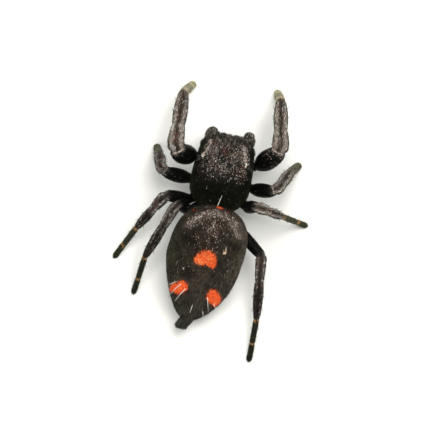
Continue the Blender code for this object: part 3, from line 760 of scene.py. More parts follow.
def abdomen_tint(points):
    """Brown-black on the back, mauve-grey on the crescent and the flanks, duller behind; the right
    flank is paler, partly its own mauve-grey and partly painted light on that side.
    """
    x, y, z = np.moveaxis(points, -1, 0)
    middle = bell(x + 0.1 - 0.08 * y, 1.55) * ramp(z, 3.0, 1.5)
    # The right flank is painted paler: partly its own mauve-grey, partly painted light falling on
    # that side, fading towards the rear.
    right = np.clip(0.5 - 0.5 * x, 0.0, 1.0)[..., None]
    flank = (1.0 - right) * [0.038, 0.037, 0.025] + right * [0.080, 0.066, 0.052]
    flank = flank * (1.0 - 0.55 * right[..., 0] * ramp(y, 3.6, 1.4))[..., None]
    rear_haze = 0.8 * bell(y - 4.6, 1.2) * bell(x - 0.1, 1.0) * (z > 3.5)
    front_haze = 0.8 * bell(y - 1.3, 0.75) * bell(x + 0.1, 0.75) * (z > 4.0)
    tint = blend(flank, [0.028, 0.020, 0.014], middle)
    tint = blend(tint, [0.074, 0.056, 0.044], rear_haze)
    tint = blend(tint, [0.070, 0.048, 0.038], front_haze)
    tint = blend(tint, [0.015, 0.015, 0.009], ramp(z, 2.4, -1.0))
    tint = blend(tint, [0.140, 0.108, 0.098], 0.85 * crescent(points))
    for middle_x, middle_y, radius in DARK_PATCHES:
        dark = bell(np.hypot(x - middle_x, y - middle_y), radius) * (z > 3.5)
        tint = tint * (1.0 - 0.62 * dark)[..., None]
    uneven = 1.0 + 0.40 * ripple(points, 0.6) + 0.30 * ripple(points, 0.22, 4.0) * (z > 3.0)
    tint = tint * np.clip(uneven + 0.8 * (grains(points, 0.09) - 0.5), 0.2, None)[..., None]
    return with_flecks(blend(tint, ORANGE, orange_share(points)), points)


skin("abdomen_skin", abdomen, SOFT_SKIN, ["abdomen"], abdomen_tint(abdomen))


def speck_share(roots, above):
    """How many of the little cubes on the back hold a bright scale: most along the crescent."""
    x, y, _ = roots.T
    thick = 0.006 + 0.44 * crescent(roots) + 0.26 * bell(y - 1.2, 0.75) * bell(x + 0.1, 1.0)
    thick += 0.075 * bell(y - 2.7, 0.9) * bell(x + 0.3, 1.5) + 0.022 * bell(y - 4.3, 0.9)
    return thick * above


SPECKS = ((0.30, PINK), (0.34, WHITE), (0.18, (0.20, 0.05, 0.03)), (0.18, GREY))
BRIGHTNESS_OF_FLECKS = 0.65  # sum of the three colour values above which the skin is a fleck


def abdomen_coat(name, count, zone):
    """Short hairs that lie backwards; a spot is a pavement of broad orange scales."""
    hairs = sow(abdomen, count, zone)
    roots = hairs.roots
    x, y, z = roots.T
    ground = abdomen_tint(roots)
    tint = ground * chance.uniform(0.2, 1.7, (count, 1))
    tint = dyed(tint, (chance.random(count) < 0.10) & (y > 2.0) & (z > 2.5), ground * 3.0)
    orange = chance.random(count) < orange_share(roots)
    flecked = ground.sum(axis=1) > BRIGHTNESS_OF_FLECKS
    share = speck_share(roots, np.clip(hairs.out[:, 2], 0.0, 1.0))
    bright = (grains(roots, 0.056, 5.0) < share) & ~flecked
    tint = dyed(tint, bright, mottled(roots, SPECKS, size=0.06))
    scales = mottled(roots, [(0.70, ORANGE), (0.20, EMBER), (0.10, AMBER)], size=0.09, mixing=0.5)
    yellowish = mottled(roots, [(0.45, ORANGE), (0.55, AMBER)], size=0.09)
    gilded = bell(np.hypot(x - 0.30, y - 3.65), 0.33) + 0.5 * bell(np.hypot(x + 0.3, y - 3.2), 0.25)
    scales = dyed(scales, chance.random(count) < 0.8 * gilded, yellowish)
    tint = dyed(tint, orange, scales * (1.0 + 0.15 * (y > 4.5))[:, None])
    tint = dyed(tint, flecked & ~orange, ground * chance.uniform(0.7, 1.2, (count, 1)))
    scale = orange | bright | flecked
    bristle = (chance.random(count) < 0.03) & (y > 4.6) & ~scale
    tint = dyed(tint, bristle, (0.12, 0.11, 0.09))
    length = np.where(scale, chance.uniform(0.09, 0.15, count), chance.uniform(0.13, 0.26, count))
    length = np.where(bristle, 0.45, np.where(bright, 0.75 * length, length))
    width = np.where(scale, chance.uniform(0.035, 0.055, count), chance.uniform(0.014, 0.026, count))
    lay = unruly(np.array([0.0, 1.0, -0.05]), 0.16, count)
    lay[:, 0] -= 0.10 * x * (y > 3.5)
    lift = np.where(scale, 0.12, chance.uniform(0.15, 0.45, count)) + 0.15 * bristle
    plant(name, hairs, lay, length, width, lift, tint)


UPWARDS = 0.15  # rise of the normal that parts the coat of the back from that of the belly


def upper_left(centre, normal):
    """The back, left of the middle."""
    return (normal[..., 2] > UPWARDS) & (centre[..., 0] > 0.0)


def upper_right(centre, normal):
    """The back, right of the middle."""
    return (normal[..., 2] > UPWARDS) & (centre[..., 0] <= 0.0)


def lower(centre, normal):
    """The lower flanks and the belly."""
    return normal[..., 2] <= UPWARDS


abdomen_coat("abdomen_coat_left", 19500, upper_left)
abdomen_coat("abdomen_coat_right", 19500, upper_right)
abdomen_coat("abdomen_coat_under", 16000, lower)


# ------------------------------------------------------------------ legs
# Eight legs, each under one unbroken skin from the sternum to the claws. The thighs are glossy
# black; from the knee outwards two streaks of pale hair run along the back of the leg.

LEG_PAIRS = {  # root on the sternum, lengths of coxa, femur, shin and foot, half-thicknesses
    1: dict(root=(0.85, -3.85), coxa=1.42, femur=3.02, shin=4.91, foot=2.95,
            thigh=0.75, knee=0.63, shank=0.55, ankle=0.36, sole=0.32),
    2: dict(root=(0.95, -2.95), coxa=1.35, femur=2.98, shin=3.10, foot=2.23,
            thigh=0.54, knee=0.44, shank=0.45, ankle=0.35, sole=0.30),
    3: dict(root=(1.04, -2.05), coxa=1.43, femur=2.58, shin=3.44, foot=3.10,
            thigh=0.48, knee=0.44, shank=0.37, ankle=0.25, sole=0.26),
    4: dict(root=(0.70, -1.04), coxa=1.46, femur=3.13, shin=5.12, foot=3.25,
            thigh=0.45, knee=0.42, shank=0.39, ankle=0.25, sole=0.26),
}
HIP_Z, SOLE_PRESS = 2.29, 0.06
COXA_THICKNESS = (0.31, 0.36, 0.33)  # at the sternum, widest and at the hip
KNEE_CREASE, SHANK_CREASE, ANKLE_CREASE = 0.90, 0.88, 0.96  # shares left at the joints
PATELLA_SHARE = 0.4  # the patella's share of patella and tibia together
TARSUS_AT = 0.56  # where metatarsus and tarsus meet, as a share of the foot
KNEE_BEND, HIP_BEND, ANKLE_BEND = 1.06, 0.36, 0.45
POSE = {  # coxa bearing, femur bearing and rise, shin bearing and rise, foot bearing, reach
    "leg1_left": (-6, 22, 62, -86, -26, -110, 1.08),
    "leg1_right": (-11, -34, 54, -101, -27, -113, 0.91),
    "leg2_left": (27, 7, 48, -69, -57.5, -66, 0.96),
    "leg2_right": (20, 7, 54, -71, -52.5, -63, 1.12),
    "leg3_left": (56, 10, 48, 55.5, -39, 61, 1.07),
    "leg3_right": (41, 10, 74, 0, -49, -2, 0.86),
    "leg4_left": (42, 0, 75.5, 67.5, -38, 82, 1.02),
    "leg4_right": (58.5, 38, 11.3, 82.5, -17, 88.5, 0.88),
}
FOOT_TINTS = {  # metatarsus and tarsus of each pair
    1: ((0.27, 0.26, 0.17), (0.40, 0.39, 0.23)),
    2: ((0.10, 0.095, 0.065), (0.075, 0.082, 0.038)),
    3: ((0.030, 0.031, 0.017), (0.024, 0.027, 0.013)),
    4: ((0.016, 0.017, 0.010), (0.013, 0.015, 0.008)),
}
RING_TINTS = {
    1: (0.66, 0.52, 0.36), 2: (0.20, 0.17, 0.10), 3: (0.52, 0.28, 0.11), 4: (0.52, 0.28, 0.11),
}
PALENESS = {  # strength of the pale streaks on each leg
    "leg1_left": 1.15, "leg1_right": 1.20, "leg2_left": 0.75, "leg2_right": 1.10,
    "leg3_left": 0.60, "leg3_right": 1.25, "leg4_left": 0.66, "leg4_right": 0.55,
}
DULL = 0.7  # a leg with a strength below this darkens beyond the patella
THIGH_FLECK = (2.80, -0.34, 0.13)  # x, y and radius of the orange fleck on the left rear leg
HAIRS_ON_LEG = {1: 7000, 2: 5200, 3: 5200, 4: 5200}
SKIN_OFF_FLOOR = 0.012
ARC_STEPS = 16  # straight pieces of a rounded bend
HALF_STEP = 0.04  # how far ahead and back the heading of a path is taken

# Name and number of a leg, and the distances along it from the sternum to its joints and toe.
Leg = namedtuple("Leg", "name number hip knee patella_end ankle tarsus toe")

LEG_SKIN = tinted("leg_skin", size=9000.0, gloss=0.22, relief=0.02, coat=0.02, specular=0.07)
CLAW = tinted("claw_horn", size=4000.0, gloss=0.15, relief=0.0, coat=0.5)


def leg_corners(pair, sign, pose):
    """Root, hip, knee, ankle and toe of one leg, from its lengths and its pose."""
    coxa_bearing, femur_bearing, femur_rise, shin_bearing, shin_rise, foot_bearing, reach = pose

    def heading(bearing, rise):
        """The direction with a bearing and a rise, mirrored on the right side."""
        b, r = math.radians(bearing), math.radians(rise)
        return np.array([sign * math.cos(r) * math.cos(b), math.cos(r) * math.sin(b), math.sin(r)])

    root = np.array([sign * pair["root"][0], pair["root"][1], HIP_Z])
    hip = root + pair["coxa"] * heading(coxa_bearing, 0.0)
    knee = hip + pair["femur"] * heading(femur_bearing, femur_rise)
    ankle = knee + pair["shin"] * reach * heading(shin_bearing, shin_rise)
    foot, sole = pair["foot"], pair["sole"]
    toe_z = (sole * (1.0 - ankle[2] / foot) - SOLE_PRESS) / (1.0 - sole / foot)
    foot_fall = math.degrees(math.asin((ankle[2] - toe_z) / foot))
    return [root, hip, knee, ankle, ankle + foot * heading(foot_bearing, -foot_fall)]


def rounded_path(corners, radii):
    """Straight runs joined by arcs: the points, their distances, and each arc's middle.

    An arc starts at its radius times the tangent of half the turn before the corner.
    """
    points, marks = [corners[0]], []
    for before, corner, after, radius in zip(corners, corners[1:], corners[2:], radii):
        ahead, onward = unit(corner - before), unit(after - corner)
        turn = math.acos(float(np.clip(ahead @ onward, -1.0, 1.0)))
        side = unit(onward - (onward @ ahead) * ahead)
        start = corner - radius * math.tan(turn / 2) * ahead
        marks.append(len(points) + ARC_STEPS // 2)
        for angle in np.linspace(0.0, turn, ARC_STEPS + 1):
            points.append(start + radius * (math.sin(angle) * ahead + (1.0 - math.cos(angle)) * side))
    points = np.array([*points, corners[-1]])
    distance = np.concatenate([[0.0], np.cumsum(np.linalg.norm(np.diff(points, axis=0), axis=1))])
    return points, distance, [distance[mark] for mark in marks]


def tube(path, stations, radius, sides=32):
    """Rings square to the path, turning with it without a twist: rings, centres, tangents."""
    points, distance = path
    centres, before, beyond = (
        np.stack([np.interp(where, distance, points[:, i]) for i in range(3)], axis=-1)
        for where in (stations, stations - HALF_STEP, stations + HALF_STEP)
    )
    ahead = unit(beyond - before)
    angle = full_turn(sides)[:, None]
    up, rings = UP, []
    for centre, tangent, thick in zip(centres, ahead, radius):
        up = unit(up - (up @ tangent) * tangent)
        across = np.cross(tangent, up)
        rings.append(centre + thick * (np.cos(angle) * across + np.sin(angle) * up))
    return np.array(rings), centres, ahead


def horn(route, bend, steps, sides, thickness):
    """A tube along a route with one rounded bend, as thick as the share of the way asks."""
    points, distance, _ = rounded_path([np.array(point) for point in route], (bend,))
    stations = np.linspace(0.0, distance[-1], steps)
    return tube((points, distance), stations, thickness(stations / distance[-1]), sides)[0]


def swell(share, low, high, last, peak):
    """Grows from low to high at the peak share as a quarter sine, then falls to last."""
    share = np.clip(share, 0.0, 1.0)
    rise = low + (high - low) * np.sin(0.5 * math.pi * np.minimum(share / peak, 1.0))
    down = np.cos(0.5 * math.pi * ramp(share, peak, 1.0 - peak))
    return np.where(share < peak, rise, last + (high - last) * np.abs(down) ** 0.8)


def rounded_tip(stations, reach):
    """Quarter of an ellipse over the last stretch of a limb, nearly closed at the tip."""
    return np.sqrt(1.0 - np.clip(1.0 - (stations[-1] - stations) / reach, 0.0, 0.96) ** 2)


def leg_shape(pair, leg, stations):
    """Half-thickness along the leg, less the coat, pinched in at each of the joints."""
    _, _, hip, knee, patella_end, ankle, tarsus, toe = leg
    thigh, bend, shank, thin, sole = (pair[k] for k in ("thigh", "knee", "shank", "ankle", "sole"))
    part = np.searchsorted([hip, knee, patella_end, ankle], stations)
    before, after = KNEE_CREASE * bend, SHANK_CREASE * shank
    radius = np.choose(part, [
        swell(stations / hip, *COXA_THICKNESS, 0.6),
        swell((stations - hip) / (knee - hip), COXA_THICKNESS[2], thigh, before, 0.5),
        swell((stations - knee) / (patella_end - knee), before, bend, after, 0.16),
        swell((stations - patella_end) / (ankle - patella_end), after, shank, thin, 0.35),
        swell((stations - ankle) / (toe - ankle), ANKLE_CREASE * thin, thin, sole, 0.25),
    ])
    pinch = 0.10 * bell(stations - hip, 0.12) + 0.06 * bell(stations - knee, 0.08)
    pinch += 0.06 * bell(stations - patella_end, 0.10) + 0.10 * bell(stations - ankle, 0.10)
    pinch += 0.12 * bell(stations - tarsus, 0.08)
    coat = np.interp(stations, [hip, knee, ankle, toe], [0.03, 0.05, 0.06, 0.08])
    return (radius * (1.0 - pinch) - coat) * rounded_tip(stations, sole)


def limb_stations(length, evenly, at_tip):
    """Distances along a limb in even steps, which shorten over the round tip."""
    tip = length - 0.29 * np.linspace(1.0, 0.0, at_tip) ** 2
    return np.concatenate([np.linspace(0.0, length - 0.3, evenly), tip])


def distance_along(hairs, stations):
    """How far along its limb each hair is rooted."""
    return np.interp(hairs.unwrap[:, 0] * (len(stations) - 1.0), np.arange(len(stations)), stations)


def left_beyond_patella(where, leg):
    """Share of the shin's colour that is left; dull legs darken beyond the patella."""
    return 1.0 - 0.60 * ramp(where - leg.patella_end, -0.4, 0.8) * (PALENESS[leg.name] < DULL)


def leg_pattern(where, dorsal, leg):
    """Pale share of the hair: two streaks from the knee on, with a darker line between them."""
    slant = np.degrees(np.arccos(np.clip(dorsal, -1.0, 1.0)))
    streaks = bell(slant - 40.0, 21.0) * ramp(where - leg.knee, -0.25, 0.3)
    halfway = 0.5 * (leg.patella_end + leg.ankle)
    marks = [leg.patella_end, halfway, leg.ankle, leg.ankle + 0.2]
    streaks = streaks * np.interp(where, marks, [1.0, 0.75, 0.5, 0.0])
    return streaks * PALENESS[leg.name] * left_beyond_patella(where, leg)


def foot_tint(where, leg):
    """Metatarsus and tarsus colours with a soft change between them."""
    upper, lower = FOOT_TINTS[leg.number]
    return blend(np.broadcast_to(upper, (*where.shape, 3)), lower, ramp(where, leg.tarsus, 0.1))


def rings_of_foot(where, leg):
    """Strength of the two pale rings, just beyond each joint of the foot; wider on leg 1."""
    width = 0.14 if leg.number == 1 else 0.07
    upper, lower = where - leg.ankle - width, where - leg.tarsus - 0.04
    return np.clip(bell(upper, width) + bell(lower, 0.8 * width), 0.0, 1.0)


def leg_tint(where, dorsal, leg):
    """Black thighs, brown-black shins with grey streaks, ringed feet; a painted greenish reflection
    on the underside and a painted highlight across the top of the knee.
    """
    black = np.broadcast_to(BLACK, (*where.shape, 3))
    # The underside turns greenish: a painted reflection.
    tint = blend(black, [0.009, 0.012, 0.004], 0.8 * (dorsal < 0.1))
    shin = ramp(where, leg.knee, 0.2) * (dorsal > 0.0)
    tint = blend(tint, [0.035, 0.026, 0.020], shin * left_beyond_patella(where, leg))
    streaks = np.clip(0.8 * leg_pattern(where, dorsal, leg), 0.0, 1.0)
    tint = blend(tint, [0.24, 0.20, 0.185], streaks)
    tint = blend(tint, foot_tint(where, leg), ramp(where, leg.ankle, 0.2))
    tint = blend(tint, RING_TINTS[leg.number], 0.7 * rings_of_foot(where, leg))
    # A thin pale line across the top of the front legs' knees: a painted highlight on the joint's
    # crease.
    line = bell(where - leg.knee + 0.06, 0.020) * ramp(dorsal, 0.45, 0.2) * (leg.number < 3)
    return blend(tint, [0.52, 0.42, 0.37], 0.9 * line)


def claws(name, toe, heading):
    """Two small hooked claws at the end of the foot, each a tapering tube along an arc."""
    side = unit(np.cross(heading, UP))
    level = unit(heading * [1.0, 1.0, 0.0])
    for label, sway in (("a", 1.0), ("b", -1.0)):
        base = toe + 0.06 * sway * side + 0.10 * UP
        route = [base, base + 0.12 * level + 0.02 * UP, base + 0.19 * level - 0.09 * UP]
        rings = horn(route, 0.06, 14, 10, lambda share: 0.024 * (1.0 - 0.93 * share))
        rings[..., 2] = np.maximum(rings[..., 2], COAT_OFF_FLOOR)
        skin(f"{name}_claw_{label}", rings, CLAW, (), (0.03, 0.015, 0.008))


SHIN_HAIR = ((0.38, DARK), (0.38, BROWN), (0.13, (0.10, 0.07, 0.055)), (0.05, GREY), (0.06, RUST))
# Hair for the lower sides of the shins; its olive green is a painted reflection.
FLANK_HAIR = ((0.45, (0.046, 0.054, 0.027)), (0.30, OLIVE), (0.20, DARK), (0.05, GREY))
PALE_HAIR = ((0.48, (0.32, 0.285, 0.25)), (0.20, GREY), (0.12, PINK), (0.20, WHITE))
FOOT_SHADES = ((0.60, (1.1, 1.1, 1.1)), (0.30, (0.5, 0.5, 0.5)), (0.10, (2.4, 2.4, 2.4)))
PALER_FOOT = {"leg3_right": 2.2}


def leg_hair(roots, where, dorsal, leg):
    """Colours: dark on the thigh, mottled grey in the streaks, straw and orange on the foot."""
    count = len(roots)
    # The little cubes of one colour become streaks along the leg in these places.
    drawn_out = np.stack([0.22 * where, 0.5 * dorsal, 0.2 * roots[:, 0]], axis=1)
    thigh = mottled(roots, [(0.90, DARK), (0.09, OLIVE), (0.01, GREY)], size=0.06)
    shin = mottled(drawn_out, SHIN_HAIR, size=0.06)
    flank = mottled(drawn_out, FLANK_HAIR, size=0.06)
    light = mottled(drawn_out, PALE_HAIR, size=0.07)
    lengthwise = mottled(drawn_out, FOOT_SHADES, size=0.06)
    # Below the back of the shin the hair is olive: a painted greenish reflection.
    shin = dyed(shin, dorsal < 0.45, flank) * min(1.0, 0.35 + 0.65 * PALENESS[leg.name])
    shin = shin * left_beyond_patella(where, leg)[:, None]
    tint = dyed(shin, where < leg.knee, thigh)
    pale = leg_pattern(where, dorsal, leg) * (0.9 + 0.4 * ripple(roots, 0.6, leg.number))
    tint = dyed(tint, chance.random(count) < pale, light)
    early = 0.22 * bell(where - leg.knee + 0.45, 0.4) * np.clip(dorsal, 0.0, 1.0)
    tint = dyed(tint, grains(roots, 0.08, 2.0) < early * (leg.name == "leg1_right"), PINK)
    foot = foot_tint(where, leg) * lengthwise * PALER_FOOT.get(leg.name, 1.0)
    tint = dyed(tint, where > leg.ankle + 0.1 * chance.normal(size=count), foot)
    ringed = chance.random(count) < 0.65 * rings_of_foot(where, leg)
    tint = dyed(tint, ringed, RING_TINTS[leg.number] * chance.uniform(0.7, 1.3, (count, 1)))
    x, y, reach = THIGH_FLECK
    fleck = (np.hypot(roots[:, 0] - x, roots[:, 1] - y) < reach) & (leg.name == "leg4_left")
    return dyed(tint, fleck, (0.60, 0.30, 0.12))


def upward_of(directions):
    """For each direction the one at right angles to it that rises most steeply."""
    return unit(UP - directions[:, 2:] * directions)


def leg_coat(leg, rings, stations):
    """Hair that lies towards the foot, sparse on the thigh, with some longer bristles."""
    halfway = 0.5 * (stations[1:] + stations[:-1])
    marks = [0.4 * leg.hip, leg.hip, leg.knee, leg.knee + 0.1]
    thickness = np.interp(halfway, marks, [0.2, 0.4, 0.5, 1.0])
    count = HAIRS_ON_LEG[leg.number]
    hairs = sow(rings, count, lambda centre, normal: thickness[:, None])
    where = distance_along(hairs, stations)
    dorsal = np.sum(hairs.out * upward_of(hairs.along), axis=1)
    tint = leg_hair(hairs.roots, where, dorsal, leg)
    marks = [leg.hip, leg.knee, leg.ankle, leg.toe]
    shoulder = 1.0 + bell(where - leg.hip, 0.5) * (dorsal > 0.0) * (leg.number == 1)
    length = np.interp(where, marks, [0.12, 0.18, 0.18, 0.15]) * chance.uniform(0.7, 1.3, count)
    lift = np.interp(where, marks, [0.12, 0.14, 0.20, 0.40]) * chance.uniform(0.4, 1.5, count)
    length, lift = length * shoulder, lift * shoulder
    bristle = chance.random(count) < 0.006 + 0.03 * (dorsal < -0.5) * (where > leg.knee)
    length = np.where(bristle & (where < leg.tarsus), length * 1.7, length)
    lift = np.where(bristle, 0.70, lift)
    lay = unruly(hairs.along, 0.10, count)
    width = chance.uniform(0.018, 0.034, count)
    plant(f"{leg.name}_coat", hairs, lay, length, width, lift, tint)


SPINES = (  # number of the joint before, share of the way to the next, degrees round from the back
    (3, 0.30, 150), (3, 0.55, 150), (3, 0.80, 150), (4, 0.25, 150), (4, 0.60, 150),
    (1, 0.62, 30), (1, 0.80, 45), (3, 0.35, 75), (3, 0.70, 80), (4, 0.30, 80),
)


def leg_spines(leg, rings, centres, ahead, stations):
    """Stout dark spines in pairs: along the underside of the shin and on the flanks."""
    marks = np.array([0.0, leg.hip, leg.knee, leg.patella_end, leg.ankle, leg.tarsus, leg.toe])
    before, share, turn = np.repeat(np.array(SPINES), len(SIDES), axis=0).T
    slant = np.radians(turn * np.tile([sign for _, sign in SIDES], len(SPINES)))
    rows = before.astype(int)
    where = marks[rows] * (1.0 - share) + marks[rows + 1] * share
    at = np.searchsorted(stations, where).clip(max=len(stations) - 1)
    tangent = ahead[at]
    upward = upward_of(tangent)
    out = np.cos(slant)[:, None] * upward + np.sin(slant)[:, None] * np.cross(tangent, upward)
    radius = np.linalg.norm(rings[at, 0] - centres[at], axis=1)[:, None]
    unwrap = np.stack([at / len(stations), (slant / (2.0 * math.pi)) % 1.0], axis=1)
    spines = Hairs(centres[at] + radius * out, out, tangent, unwrap)
    tint = np.broadcast_to(np.array([0.012, 0.008, 0.006]), (len(at), 3))
    plant(f"{leg.name}_spines", spines, tangent, 0.34, 0.038, 0.60, tint, flat=0.8)


def dress_leg(number, side, sign):
    """Skin, coat, spines and claws of one leg."""
    name, pair = f"leg{number}_{side}", LEG_PAIRS[number]
    corners = leg_corners(pair, sign, POSE[name])
    bends = (HIP_BEND, KNEE_BEND * pair["knee"], ANKLE_BEND)
    points, distance, (hip, knee, ankle) = rounded_path(corners, bends)
    toe = distance[-1]
    patella_end, tarsus = knee + PATELLA_SHARE * (ankle - knee), ankle + TARSUS_AT * (toe - ankle)
    leg = Leg(name, number, hip, knee, patella_end, ankle, tarsus, toe)
    stations = limb_stations(toe, 240, 16)
    rings, centres, ahead = tube((points, distance), stations, leg_shape(pair, leg, stations))
    rings[..., 2] = np.maximum(rings[..., 2], SKIN_OFF_FLOOR)
    dorsal = np.einsum("rci,ri->rc", unit(rings - centres[:, None]), upward_of(ahead))
    nodes = [f"{name}_{part}" for part in ("coxa", "femur", "tibia", "foot")]
    tint = leg_tint(stations[:, None] + 0.0 * dorsal, dorsal, leg)
    skin(f"{name}_skin", rings, LEG_SKIN, nodes, tint)
    leg_coat(leg, rings, stations)
    leg_spines(leg, rings, centres, ahead, stations)
    claws(name, corners[-1], unit(corners[-1] - corners[-2]))


for side, sign in SIDES:
    for number in LEG_PAIRS:
        dress_leg(number, side, sign)


# ------------------------------------------------------------------ setae of the back
# A few long pale bristles arch over the front edge and the rear of the abdomen. Each is a thin
# tube rooted in the skin, and tapers to its tip.

SETAE = (  # where each is rooted, where its tip is, and how high it arches
    ((-0.18, -0.46), (-0.34, -1.27), 0.30), ((1.39, 5.17), (2.10, 5.51), 0.20),
    ((1.19, 5.34), (1.81, 6.08), 0.22), ((0.75, 5.52), (1.39, 6.48), 0.25),
    ((-0.81, 5.85), (-1.05, 6.72), 0.20), ((-1.25, 6.07), (-1.48, 6.35), 0.12),
    ((-0.63, 6.60), (-0.75, 7.13), 0.15), ((0.10, 6.45), (0.20, 7.05), 0.15),
)


def over_the_back(x, y, above):
    """The point at a height above the back, at a place in plan."""
    return np.array([x, y, height_over(abdomen, x, y) + above])


for index, (root, tip, arch) in enumerate(SETAE, 1):
    start, end = over_the_back(*root, -0.02), over_the_back(*tip, arch)
    halfway = 0.5 * (start + end)
    route = [start, over_the_back(halfway[0], halfway[1], arch), end]
    rings = horn(route, 0.3, 16, 8, lambda share: 0.024 - 0.015 * share)
    skin(f"seta_{index}", rings, HAIR, (), (0.80, 0.77, 0.70))


# ------------------------------------------------------------------ palps
# The two short feelers beside the jaws, of thin black skin under grizzled hair. They rise beside
# the face and bend down over it.

PALP_ROUTE = (
    (0.94, -4.74, 2.28), (1.34, -5.22, 2.34), (1.52, -5.51, 3.00),
    (1.38, -5.95, 3.10), (1.30, -6.06, 2.50), (1.14, -6.06, 1.30),
)
PALP_BENDS = (0.3, 0.33, 0.33, 0.5)
PALP_DRAWN_BACK = {"left": 0.12, "right": 0.0}
PALP_ARM, PALP_HAND = (0.25, 0.30, 0.34), (0.34, 0.36, 0.26)  # half-thickness: start, widest, end
PALP_COAT, PALP_HAIRS = 0.06, 4200
PALP_HAIR = (
    (0.42, (0.09, 0.09, 0.06)), (0.26, GREY), (0.07, PINK), (0.06, WHITE), (0.19, DARK),
)


def palp_rings(side, sign):
    """Arm and hand of one palp, creased between them and across the hand: rings, stations, knee."""
    back = PALP_DRAWN_BACK[side] * np.array([0.0, 0.0, 1.0, 1.0, 1.0, 1.0])
    corners = [np.array([sign * x, y + b, z]) for (x, y, z), b in zip(PALP_ROUTE, back)]
    points, distance, marks = rounded_path(corners, PALP_BENDS)
    knee, tip = marks[1], distance[-1]
    stations = limb_stations(tip, 110, 14)
    arm = swell(stations / knee, *PALP_ARM, 0.7)
    hand = swell((stations - knee) / (tip - knee), *PALP_HAND, 0.3)
    crease = 0.05 * bell(stations - knee, 0.1) + 0.10 * bell(stations - 0.5 * (knee + tip), 0.08)
    radius = np.where(stations < knee, arm, hand) * (1.0 - crease) - PALP_COAT
    rings, _, _ = tube((points, distance), stations, radius * rounded_tip(stations, PALP_HAND[-1]))
    return rings, stations, knee


def dress_palp(side, sign):
    """Skin and coat of one palp: dark at the root, grizzled from there on."""
    rings, stations, knee = palp_rings(side, sign)
    black = np.full((*rings.shape[:2], 3), 0.006)
    grey = blend(black, [0.05, 0.05, 0.035], (stations > 0.7)[:, None])
    nodes = [f"palp_{side}_arm", f"palp_{side}_hand"]
    skin(f"palp_{side}_skin", rings, LEG_SKIN, nodes, grey)
    count = PALP_HAIRS
    hairs = sow(rings, count)
    where = distance_along(hairs, stations)
    dark = mixed(count, [(0.6, DARK), (0.4, OLIVE)])
    pale = mottled(hairs.roots, PALP_HAIR, size=0.06)
    tint = dyed(dark, chance.random(count) < 0.75 * ramp(where, 0.6, 0.3), pale)
    inside = np.clip(-sign * hairs.out[:, 0], 0.0, 1.0) * bell(where - knee, 0.7)
    length = chance.uniform(0.10, 0.22, count) * (1.0 + 1.2 * inside)
    lay = unruly(hairs.along, 0.15, count)
    width = chance.uniform(0.016, 0.028, count)
    lift = chance.uniform(0.2, 0.6, count) + 0.7 * inside
    plant(f"palp_{side}_coat", hairs, lay, length, width, lift, tint)


for side, sign in SIDES:
    dress_palp(side, sign)


# ------------------------------------------------------------------ jaws, mouth and sternum
# The chelicerae are stout metallic-green shells with red-brown fangs folded under them. Behind
# lie the lip, the two chewing plates and the shield between the legs.

JAW_TOP, JAW_BOTTOM = 3.07, 1.34
FANG_ROUTE = ((0.62, -5.56, 1.34), (0.58, -5.52, 0.98), (0.14, -5.34, 1.04))

GREEN = tinted("green_shell", size=8000.0, gloss=0.12, relief=0.015, coat=0.6, specular=0.8)
GREEN.node_tree.nodes["Principled BSDF"].inputs["Metallic"].default_value = 0.7
FANG = tinted("fang_horn", size=4000.0, gloss=0.10, relief=0.0, coat=0.8)
PLATE = tinted("underside_shell", size=8000.0, gloss=0.30, relief=0.02, coat=0.1)


def stack(centres, half_widths, half_depths, power=2.4, sides=48, rows=60):
    """Level superellipses stacked in Z, interpolated between the given centres and sizes."""
    share = np.linspace(0.0, 1.0, rows)
    at = np.linspace(0.0, 1.0, len(centres))
    centre = np.stack([np.interp(share, at, level) for level in np.array(centres).T], axis=-1)
    cosine, sine = superellipse(full_turn(sides), power)
    x = centre[:, :1] + np.interp(share, at, half_widths)[:, None] * cosine
    y = centre[:, 1:2] + np.interp(share, at, half_depths)[:, None] * sine
    return np.stack([x, y, centre[:, 2:] + 0.0 * x], axis=-1)


def blunt_end(share):
    """Quarter of an ellipse over the last seventh of a length: 1 at its start, nearly 0 after."""
    return np.sqrt(1.0 - ramp(share, 0.86, 0.145) ** 2)


def jaw_rings(sign):
    """Level superellipses, bulging below the root, narrowing to the fang and rounded off twice."""
    drop = 1.0 - (1.0 - np.linspace(0.0, 1.0, 60)) ** 1.4
    bulge = np.sin(math.pi * np.clip(drop + 0.12, 0.0, 1.0)) ** 0.5
    close = blunt_end(drop) * np.sqrt(1.0 - ramp(drop, 0.07, -0.072) ** 2)
    width = (0.30 + 0.14 * bulge - 0.10 * drop**3 - 0.015) * close
    depth = (0.28 + 0.16 * bulge - 0.10 * drop**3 - 0.015) * close
    cosine, sine = superellipse(full_turn(60), 2.4)
    x = sign * (0.475 + 0.08 * drop[:, None]) + width[:, None] * cosine
    y = -5.50 - 0.06 * drop[:, None] + depth[:, None] * sine
    z = JAW_TOP + (JAW_BOTTOM - JAW_TOP) * drop[:, None] + 0.0 * x
    return np.stack([x, y, z], axis=-1)


